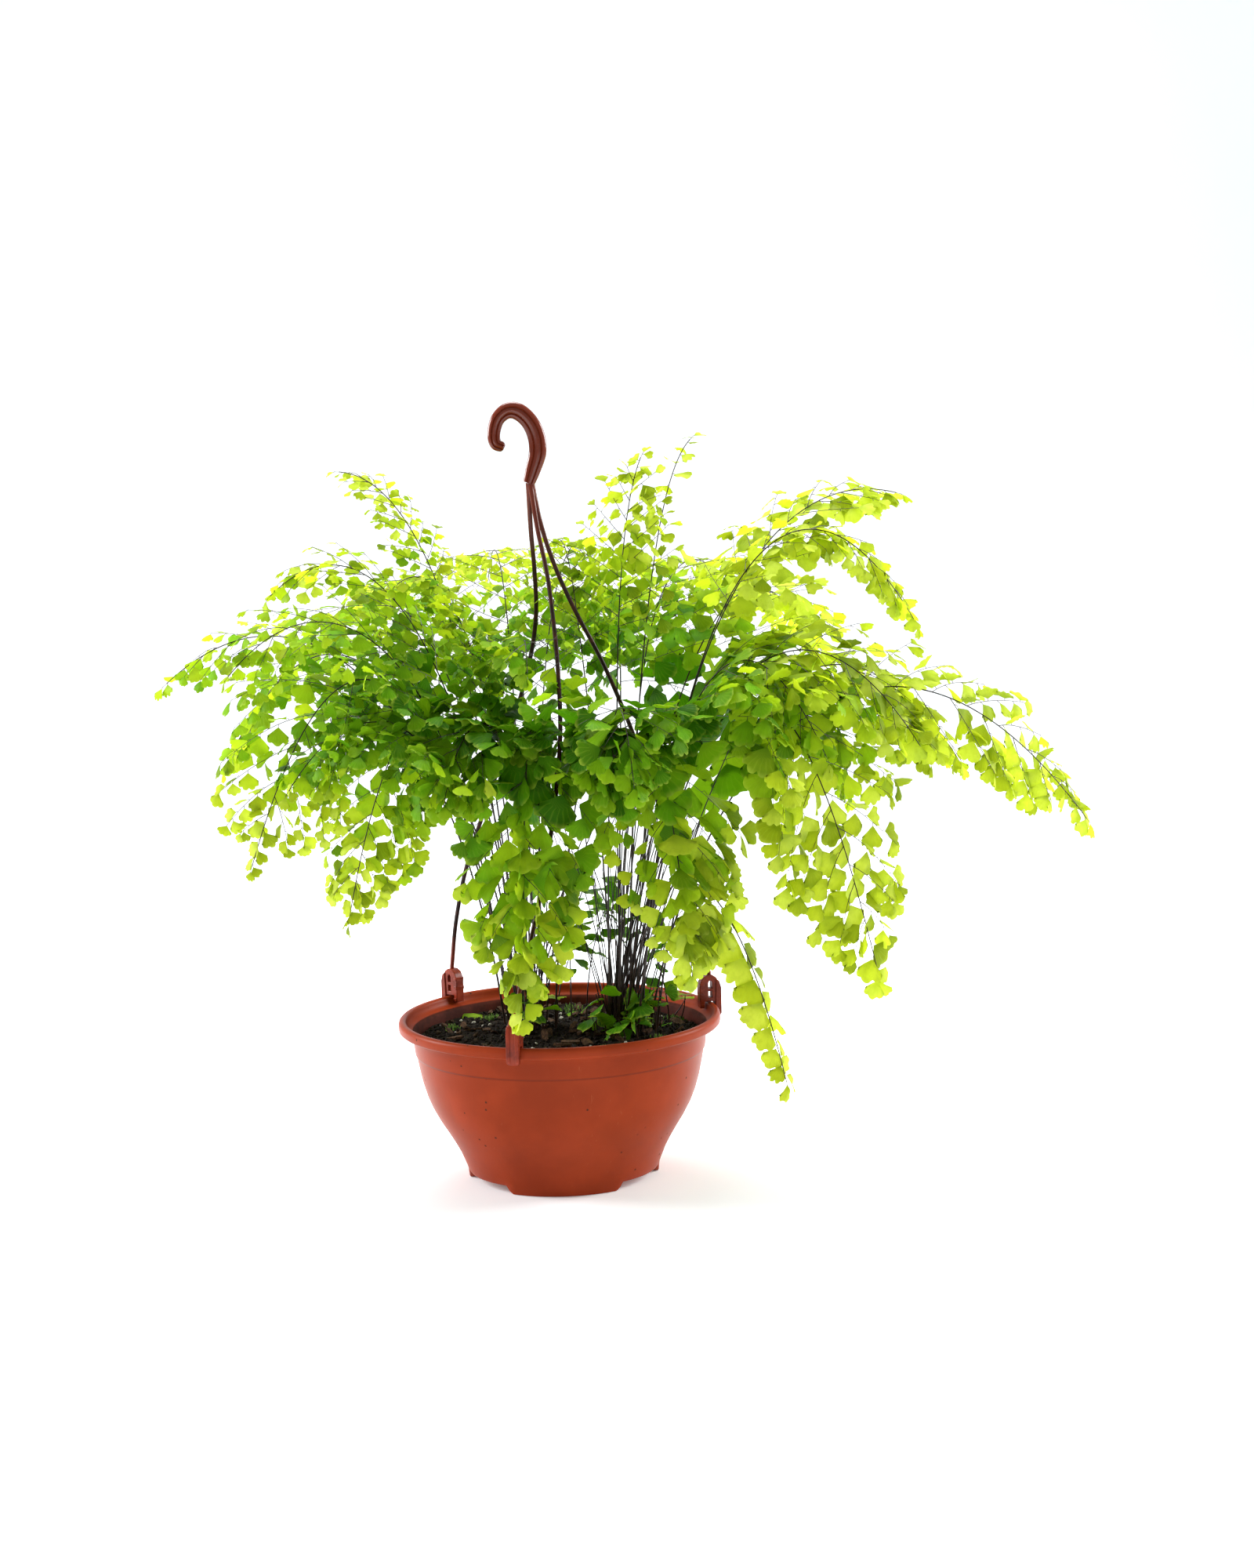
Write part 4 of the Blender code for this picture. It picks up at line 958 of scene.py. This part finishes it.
# the plant's middle across, where its front foliage starts, and the least heights, leg by leg, of foliage
# that stays open in front of the hanger
MIDDLE, FRONT = 0.02, -0.03
OPEN_FROM, OPEN_TO, OPEN_HALF = (0.338, 0.285, 0.300), 0.42, 7.5 * MM
# along a rib, leaflets shrink by a share; they vary in size and in width, and twist by an angle in radians
SHRINK, SIZES, WIDTHS, TWIST = 0.38, (0.84, 1.14), (0.90, 1.10), 0.38


def rib_frame(rib, normal, share):
    tangent = unit(point_at(rib, min(1, share + 0.05)) - point_at(rib, max(0, share - 0.05)))
    normal = across(normal, tangent)
    return point_at(rib, share), tangent, np.cross(normal, tangent), normal


def leaflet_age_and_light(spot, youth, rng):
    """0 for old inner leaflets in the plant's painted shade, 1 for young ones at its edge, top and front,
    where it is painted lit.
    """
    x, y, z = spot
    # each term is partly age and partly painted light: darker deep in the middle as painted shade, lighter
    # high up, far out and in front as painted light
    out = max(0.0, math.hypot((x - MIDDLE) / 0.30, y / 0.26) - 0.32)
    high = max(0.0, z - 0.31) / 0.13 * (0.70 if x < -0.07 else 1.0)
    low = max(0.0, 0.21 - z) / 0.10
    hang = max(0.0, 0.29 - z) / 0.10 * rise(abs(x - MIDDLE) - 0.06, 0.07)
    fore = rise(FRONT - y, 0.05) * rise(0.30 - z, 0.05)
    age_and_light = -0.02 + 0.95 * out + 1.15 * high + 0.16 * low + 0.60 * hang
    age_and_light += 0.50 * max(0, x - 0.05) / 0.25
    age_and_light += fore * (0.46 + 0.34 * rise(0.22 - z, 0.07))
    age_and_light += 0.14 * rise(x - 0.09, 0.04) * rise(z - 0.26, 0.02)
    age_and_light += 0.18 * rise(-0.08 - x, 0.04) * rise(0.28 - z, 0.03)
    return min(1.0, max(0.0, age_and_light + youth + rng.normal(0, 0.15)))


def before_leg(spot):
    """Whether a spot stands just in front of a leg high on the plant, where the foliage stays open."""
    for leg, low in zip(HANGER_LEGS, OPEN_FROM):
        if low < spot[2] < OPEN_TO:
            x, y = (np.interp(-spot[2], -leg[:, 2], leg[:, k]) for k in (0, 1))
            if abs(spot[0] - x) < OPEN_HALF and spot[1] < y:
                return True
    return False


class Dresser:
    """Hangs leaflets on the ribs of one frond."""

    def __init__(self, settings, patterns, rng, youth):
        self.settings, self.patterns, self.rng, self.youth = settings, patterns, rng, youth
        self.leaves, self.stalks = Mesh(), Mesh()

    def rib(self, line, normal, lead, full, cover=False):
        """Alternate leaflets along one rib, the last one at its end. Covering ones lie over the rib."""
        rng, long = self.rng, lengths(line)[-1]
        share, hand, last = lead, rng.choice((-1, 1)), False
        while not last:
            last = share >= 0.97
            share = min(share, 1.0)
            size = full * (1 - SHRINK * share) * rng.uniform(*SIZES)
            base, tangent, side, face = rib_frame(line, normal, share)
            x, y, z = base
            # zones: round the crowns, far right, upper left, upper right, before the stalks, and low in front
            near = rise(0.17 - math.hypot(x - MIDDLE, y), 0.08)
            far = rise(x - 0.20, 0.06)
            airy = rise(-0.05 - x, 0.04) * rise(z - 0.31, 0.03)
            crown = rise(x - 0.09, 0.03) * rise(z - 0.27, 0.02)
            gap = rise(1.5 - abs(x - 0.052) / 0.018, 1) * rise(FRONT - y, 0.02)
            gap *= rise(0.265 - z, 0.01) * rise(z - 0.14, 0.02)
            low = rise(FRONT - y, 0.03) * rise(0.29 - z, 0.03) * rise(0.14 - abs(x - MIDDLE), 0.04)
            right = rise(x - 0.10, 0.05) * rise(0.30 - z, 0.03)
            band = rise(-x, 0.03) * rise(0.03 - abs(z - 0.30), 0.01)
            size *= 1.0 + 0.34 * near * min(1.0, max(-0.75 if x < 0.03 else -0.25, (0.355 - z) / 0.05))
            size *= 1.0 - 0.10 * far
            size *= 1.0 - 0.38 * gap
            size *= 1.0 + 0.08 * band
            way = tangent if last else unit(0.46 * tangent + 0.88 * hand * side)
            if cover:
                lean = unit(np.array([x - MIDDLE, y, 0.0]))
                way = unit(0.8 * tangent + 0.34 * hand * side + 0.75 * lean)
            axis = unit(way - UP * (rng.uniform(-0.05, 0.45) + 0.5 * max(0.0, -tangent[2])))
            # leaflets high on the plant turn their faces to the sky, low ones keep to the blade of the frond
            sky = min(0.85 + 0.10 * airy, max(0.50, (z - 0.17) / 0.14))
            flat = across(face * (1 - sky) + UP * sky + 0.16 * rng.normal(size=3), axis)
            twist = rng.normal(0, TWIST)
            flat = math.cos(twist) * flat + math.sin(twist) * np.cross(flat, axis)
            stalk = rng.uniform(0.14, 0.22) * size
            foot = base + axis * stalk
            info = (leaflet_age_and_light(foot, self.youth, rng), rng.random())
            pattern = self.patterns[int(rng.integers(len(self.patterns)))]
            wide = rng.uniform(*WIDTHS)
            if not before_leg(foot + axis * size * 0.5):
                self.stalks.tube(np.array([base, base + way * stalk * 0.5, foot + axis * 0.3 * MM]),
                                 np.array([0.20, 0.16, 0.14]) * MM, 4)
                place_leaflet(self.leaves, pattern, foot, axis, flat, size, info, wide)
            room = 1.0 - 0.09 * right - 0.20 * far + 0.9 * gap + 0.45 * airy + 0.14 * crown - 0.20 * low
            share += self.settings.crowding * size / long * room
            hand = -hand


def dress_frond(frond, index, settings, patterns, leaf_material, stalk_material):
    rng = np.random.default_rng(100 + index)
    sprig, thin = frond["half"] < 10 * MM, frond["half"] < 30 * MM
    dresser = Dresser(settings, patterns, rng, rng.uniform(-0.10, 0.10) + 0.35 * sprig)
    rib, bare, name = frond["rib"], frond["stalk"], frond["name"]
    count = len(rib)
    radii = (0.76 - 0.48 * np.linspace(0, 1, count) ** 0.8) * MM
    dresser.stalks.tube(rib[:-1], radii[:-1], 7)
    tail = int(count * (bare + 0.04)) if sprig else int(count * (bare + (1 - bare) * 0.84))
    branches = [(b["rib"], b["normal"], 0.10) for b in frond["branches"] if not sprig]
    branches.append((rib[tail:], frond["branches"][-1]["normal"], 0.04))
    # big leaflets on the low front fronds, small ones on the tall back ones
    x, y, z = rib[int(count * 0.8)]
    front = rise(-0.02 - y, 0.06) * rise(1.6 - abs(x - MIDDLE) / 0.06, 1)
    grown = 0.96 - (0.22 if -0.06 < x < 0.03 else 0.04) * rise(z - 0.32, 0.08)
    grown += 0.30 * front - 0.08 * thin
    grown += 0.36 * rise(x - 0.03, 0.10)
    grown -= 0.16 * rise(-0.10 - x, 0.05) * rise(0.32 - z, 0.05)
    for line, normal, lead in branches:
        long = lengths(line)[-1]
        steps = max(4, int(long / (6 * MM)))
        fine = np.array([point_at(line, k / steps) for k in range(steps + 1)])
        dresser.stalks.tube(fine, (0.26 - 0.13 * np.linspace(0, 1, steps + 1)) * MM, 5)
        dresser.rib(line, normal, lead, settings.leaflet * grown * (0.80 + 0.30 * min(1, long / (80 * MM))))
    if front > 0.2 and not sprig:
        line = rib[int(count * (bare + 0.03)):tail + 2]
        dresser.rib(line, frond["branches"][0]["normal"], 0.05, settings.leaflet * grown, True)
    keep(dresser.stalks.build(name + "_stalk", stalk_material, 60))
    keep(dresser.leaves.build(name + "_leaflets", leaf_material, None, "leaflet"), [name])


def low_sprigs(patterns, leaf_material, stalk_material):
    """Short young fronds between the stalks, and a tuft of broad leaflets at the fuller crown."""
    rng = np.random.default_rng(31)
    leaves, stalks = Mesh(), Mesh()
    spots = [(-30, 24, 78), (-8, 30, 96), (8, 38, 104), (18, 30, 86), (30, 34, 70), (52, 30, 92),
             (60, 16, 62), (72, 8, 84), (-2, 26, 60), (44, 36, 112)]
    spots += [(x, y, rng.uniform(10, 34)) for x, y in (
        (30, -22), (38, -26), (46, -24), (54, -18), (58, -8), (34, -14), (50, -30), (24, -16), (62, -24),
        (42, -34), (-20, -12), (66, 2), (-28, -4))]
    for x, y, tall in spots:
        turn = rng.uniform(0, 2 * math.pi)
        t = np.linspace(0, 1, 8)[:, None]
        foot = np.array([x * MM, y * MM, SOIL_Z])
        line = foot + UP * tall * MM * t + heading(turn) * tall * 0.30 * MM * t * t
        stalks.tube(line, (0.55 - 0.25 * t[:, 0]) * MM, 5)
        count = 7 if tall > 50 else 3
        for k in range(count):
            turn += 2.4 + rng.uniform(-0.4, 0.4)
            axis = unit(heading(turn, rng.uniform(-0.5, 0.3)))
            flat = across(unit(UP + 0.5 * rng.normal(size=3)), axis)
            # the dark end of the colour and a darker tone: painted shade low under the fronds
            info = (rng.uniform(0.0, 0.22), rng.random() * 0.4)
            size = rng.uniform(9, 15) * MM
            base = point_at(line, 1.0 if k == 0 else 1 - 0.42 * k / count)
            stalks.tube(np.array([base, base + axis * 1.5 * MM, base + axis * 3.2 * MM]), 0.2 * MM, 4)
            place_leaflet(leaves, patterns[(k + count) % 8], base + axis * 3 * MM, axis, flat, size, info)
    keep(leaves.build("low_sprig_leaflets", leaf_material, None, "leaflet"))
    keep(stalks.build("low_sprig_stalks", stalk_material, 60))


def bare_stalks(settings, material):
    """Old stalks that have lost their leaflets, leaning out of both crowns between the fronds."""
    rng = np.random.default_rng(9)
    mesh = Mesh()
    for k in range(settings.bare):
        tight = k % 2 == 0
        cx, cy = CROWNS["left" if k % 5 == 1 else "right"]
        turn, lean = rng.uniform(0, 2 * math.pi), rng.uniform(0.05, 0.42)
        wide = rng.uniform(2, 8 if tight else 13) * MM
        foot = np.array([cx + wide * math.cos(turn) - 2 * MM * tight, cy + wide * math.sin(turn),
                         SOIL_Z - 3 * MM])
        out = heading(rng.normal(0.15, 0.5) if tight else turn + rng.uniform(-1.2, 1.2))
        tall = rng.uniform(110 if tight else 70, 200) * MM
        t = np.linspace(0, 1, 12)[:, None]
        line = foot + UP * tall * t + out * lean * tall * (0.75 * t + 0.25 * t * t)
        line = line + np.cross(out, UP) * rng.uniform(-5, 5) * MM * np.sin(math.pi * t)
        mesh.tube(line, (0.48 + 0.12 * tight - 0.26 * t[:, 0]) * MM, 6)
    keep(mesh.build("old_bare_stalks", material, 60))


def litter_and_seedlings(patterns, leaf_material, stalk_material):
    """A few leaflets that have dropped on the mix, and seedlings beside the fuller crown."""
    rng = np.random.default_rng(77)
    litter, shoots = Mesh(), Mesh()
    for x, y, size in ((-64, 62, 15), (-40, -58, 8), (12, 58, 9), (74, 6, 9), (-8, -62, 7), (48, -66, 8)):
        axis = unit(np.array([rng.normal(), rng.normal(), rng.uniform(-0.05, 0.15)]))
        flat = across(unit(UP + 0.25 * rng.normal(size=3)), axis)
        info = (rng.uniform(0.2, 0.8), 0.3)
        place_leaflet(litter, patterns[1], on_soil(x * MM, y * MM, 2.4 * MM), axis, flat, size * MM, info)
    for x, y in ((50, 2), (56, 8), (62, -4), (80, 32), (74, 38), (58, -16), (22, -24), (-2, 24)):
        foot, tall = on_soil(x * MM, y * MM), rng.uniform(8, 20) * MM
        tip = foot + np.array([rng.normal(0, 4) * MM, rng.normal(0, 4) * MM, tall])
        line = np.array([foot - UP * MM, (foot + tip) / 2 + [1 * MM, 0, 0], tip])
        shoots.tube(line, np.array([0.5, 0.4, 0.3]) * MM, 5)
        for k in range(3):
            axis = unit(heading(rng.uniform(0, 6.28) + k * 2.1, 0.35))
            info = (rng.uniform(0.5, 0.9), rng.random())
            place_leaflet(litter, patterns[k], tip, axis, across(UP, axis), rng.uniform(5, 9) * MM, info)
    keep(litter.build("fallen_and_seedling_leaflets", leaf_material, None, "leaflet"))
    keep(shoots.build("seedling_stalks", stalk_material, 60))


# ---------------------------------------------------------------- operators

class FERN_OT_bowl(bpy.types.Operator):
    """Mould the terracotta plastic bowl with its rolled rim and notched base"""
    bl_idname = "fern.bowl"
    bl_label = "Bowl"

    def execute(self, context):
        settings = context.scene.fern_bowl
        keep(bowl_mesh(settings, bowl_finish(settings)), ["pot"])
        return {"FINISHED"}


class FERN_OT_hanger(bpy.types.Operator):
    """Mould the hook, its three legs and the clips on the rim"""
    bl_idname = "fern.hanger"
    bl_label = "Hanger"

    def execute(self, context):
        settings = context.scene.fern_hanger
        material = hanger_finish(settings)
        keep(hanger_mesh(settings, material), ["hanger"])
        for index, angle in enumerate(CLIP_ANGLES):
            keep(clip_mesh(index, angle, material))
        return {"FINISHED"}


class FERN_OT_soil(bpy.types.Operator):
    """Fill the bowl with potting mix, crumbs, bark, grit and moss"""
    bl_idname = "fern.soil"
    bl_label = "Potting mix"

    def execute(self, context):
        settings = context.scene.fern_soil
        rng = np.random.default_rng(23)
        keep(soil_bed(soil_finish(settings)), ["soil"])
        crumbs, grit = Mesh(), Mesh()
        scatter(crumbs, rng, settings.crumbs, (0.9, 2.6), 0.8, (0.0, 0.8))
        scatter(crumbs, rng, settings.crumbs // 8, (2.6, 5.0), 0.7, (0.1, 1.0))
        keep(crumbs.build("soil_crumbs", crumb_finish(), 30, "crumb"))
        keep(bark_chips(rng, bark_finish()))
        scatter(grit, rng, 60, (1.4, 3.6), 0.7, (0, 1), 87 * MM, 0.1)
        keep(grit.build("grit", grit_finish(), 45))
        keep(moss_tufts(rng, moss_finish()))
        return {"FINISHED"}


class FERN_OT_fronds(bpy.types.Operator):
    """Grow the fronds: wiry stalks, side branches and fan-shaped leaflets"""
    bl_idname = "fern.fronds"
    bl_label = "Fronds"

    def execute(self, context):
        settings = context.scene.fern_fronds
        leaf, stalk, patterns = leaflet_finish(settings), stalk_finish(settings), leaflet_patterns()
        for index, frond in enumerate(grow_fronds()):
            dress_frond(frond, index, settings, patterns, leaf, stalk)
        bare_stalks(settings, stalk)
        low_sprigs(patterns, leaf, stalk)
        litter_and_seedlings(patterns, leaf, stalk)
        return {"FINISHED"}


class FERN_OT_studio(bpy.types.Operator):
    """Set the pale floor and backdrop, the soft lights and the camera"""
    bl_idname = "fern.studio"
    bl_label = "Studio"

    def execute(self, context):
        settings = context.scene.fern_studio
        studio_floor(studio_finish(settings))
        world = bpy.data.worlds.new("soft white room")
        context.scene.world = world
        world.use_nodes = True
        color, strength = world.node_tree.nodes["Background"].inputs[:2]
        color.default_value, strength.default_value = (1.0, 1.0, 1.0, 1), 0.42
        context.scene.view_settings.view_transform = "Standard"
        for light in LIGHTS:
            add_light(*light)
        add_camera(settings)
        return {"FINISHED"}


# name, place, what it aims at, size in metres, power in watts
LIGHTS = (
    ("overhead softbox", (-0.1, 0.45, 1.85), (0.0, 0.0, 0.30), 1.4, 42),
    ("left softbox", (-1.45, 0.30, 0.75), (0.0, 0.0, 0.20), 0.8, 30),
    ("right softbox", (1.45, 0.35, 0.75), (0.0, 0.0, 0.20), 0.8, 27),
    ("front softbox", (-1.0, -1.9, 1.15), (0.0, 0.0, 0.25), 0.8, 1),
)
# the camera's height in metres; its turn to the right, tip down and roll in degrees
CAMERA_Z, CAMERA_TURN = 0.5724, (1.261, 8.170, 1.636)


def studio_floor(material):
    """A floor that curves up into a backdrop behind the plant."""
    back, bend = 1.6, 0.9
    line = [(-4.0, 0.0), (-2.0, 0.0), (0.0, 0.0), (back, 0.0)]
    for t in np.linspace(0.15, math.pi / 2, 12):
        line.append((back + bend * math.sin(t), bend - bend * math.cos(t)))
    line += [(back + bend, 2.0), (back + bend, 4.0)]
    count = len(line)
    floor = Mesh()
    floor.add([(x, y, z) for x in (-4.5, 0.0, 4.5) for y, z in line],
              [(k, k + count, k + count + 1, k + 1) for k in range(2 * count) if (k + 1) % count])
    floor.build("studio_floor", material, 60)


def add_light(name, spot, aim, size, power):
    lamp = bpy.data.lights.new(name, "AREA")
    lamp.shape, lamp.size, lamp.energy = "DISK", size, power
    holder = bpy.data.objects.new(name, lamp)
    bpy.context.scene.collection.objects.link(holder)
    holder.location = spot
    holder.rotation_euler = (Vector(aim) - Vector(spot)).to_track_quat("-Z", "Y").to_euler()


def add_camera(settings):
    camera = bpy.data.cameras.new("camera")
    camera.lens, camera.sensor_width = settings.lens, 36
    camera.clip_start, camera.clip_end = 0.05, 50
    holder = bpy.data.objects.new("camera", camera)
    bpy.context.scene.collection.objects.link(holder)
    yaw, pitch, roll = (math.radians(angle) for angle in CAMERA_TURN)
    forward = Vector((math.sin(yaw) * math.cos(pitch), math.cos(yaw) * math.cos(pitch), -math.sin(pitch)))
    right = Vector((math.cos(yaw), -math.sin(yaw), 0))
    turn = Matrix.Rotation(roll, 3, forward)
    pose = Matrix((turn @ right, turn @ right.cross(forward), -forward)).transposed().to_4x4()
    pose.translation = Vector((0, -settings.distance, CAMERA_Z))
    holder.matrix_world = pose
    bpy.context.scene.camera = holder


class FERN_PT_panel(bpy.types.Panel):
    """The pieces of the fern, in the order they are built"""
    bl_label = "Potted fern"
    bl_idname = "FERN_PT_panel"
    bl_space_type = "VIEW_3D"
    bl_region_type = "UI"
    bl_category = "Fern"

    def draw(self, context):
        layout = self.layout
        for operator, group, names in PANEL_ROWS:
            box = layout.box()
            settings = getattr(context.scene, group)
            for name in names:
                box.prop(settings, name)
            box.operator(operator.bl_idname)


PANEL_ROWS = (
    (FERN_OT_bowl, "fern_bowl", ("color", "shade", "notch", "steps")),
    (FERN_OT_hanger, "fern_hanger", ("color", "dark", "leg")),
    (FERN_OT_soil, "fern_soil", ("color", "crumbs")),
    (FERN_OT_fronds, "fern_fronds", ("old", "middle", "young", "stalk", "leaflet", "crowding", "bare")),
    (FERN_OT_studio, "fern_studio", ("floor", "distance", "lens")),
)
GROUPS = (("fern_bowl", BowlSettings), ("fern_hanger", HangerSettings), ("fern_fronds", FernSettings),
          ("fern_soil", SoilSettings), ("fern_studio", StudioSettings))


def register():
    for name, group in GROUPS:
        bpy.utils.register_class(group)
        setattr(bpy.types.Scene, name, PointerProperty(type=group))
    for operator, _, _ in PANEL_ROWS:
        bpy.utils.register_class(operator)
    bpy.utils.register_class(FERN_PT_panel)


def unregister():
    bpy.utils.unregister_class(FERN_PT_panel)
    for operator, _, _ in PANEL_ROWS[::-1]:
        bpy.utils.unregister_class(operator)
    for name, group in GROUPS[::-1]:
        delattr(bpy.types.Scene, name)
        bpy.utils.unregister_class(group)


def main():
    register()
    for step in (bpy.ops.fern.studio, bpy.ops.fern.bowl, bpy.ops.fern.hanger, bpy.ops.fern.soil,
                 bpy.ops.fern.fronds):
        step()
    bpy.context.view_layer.update()


if __name__ == "__main__":
    main()
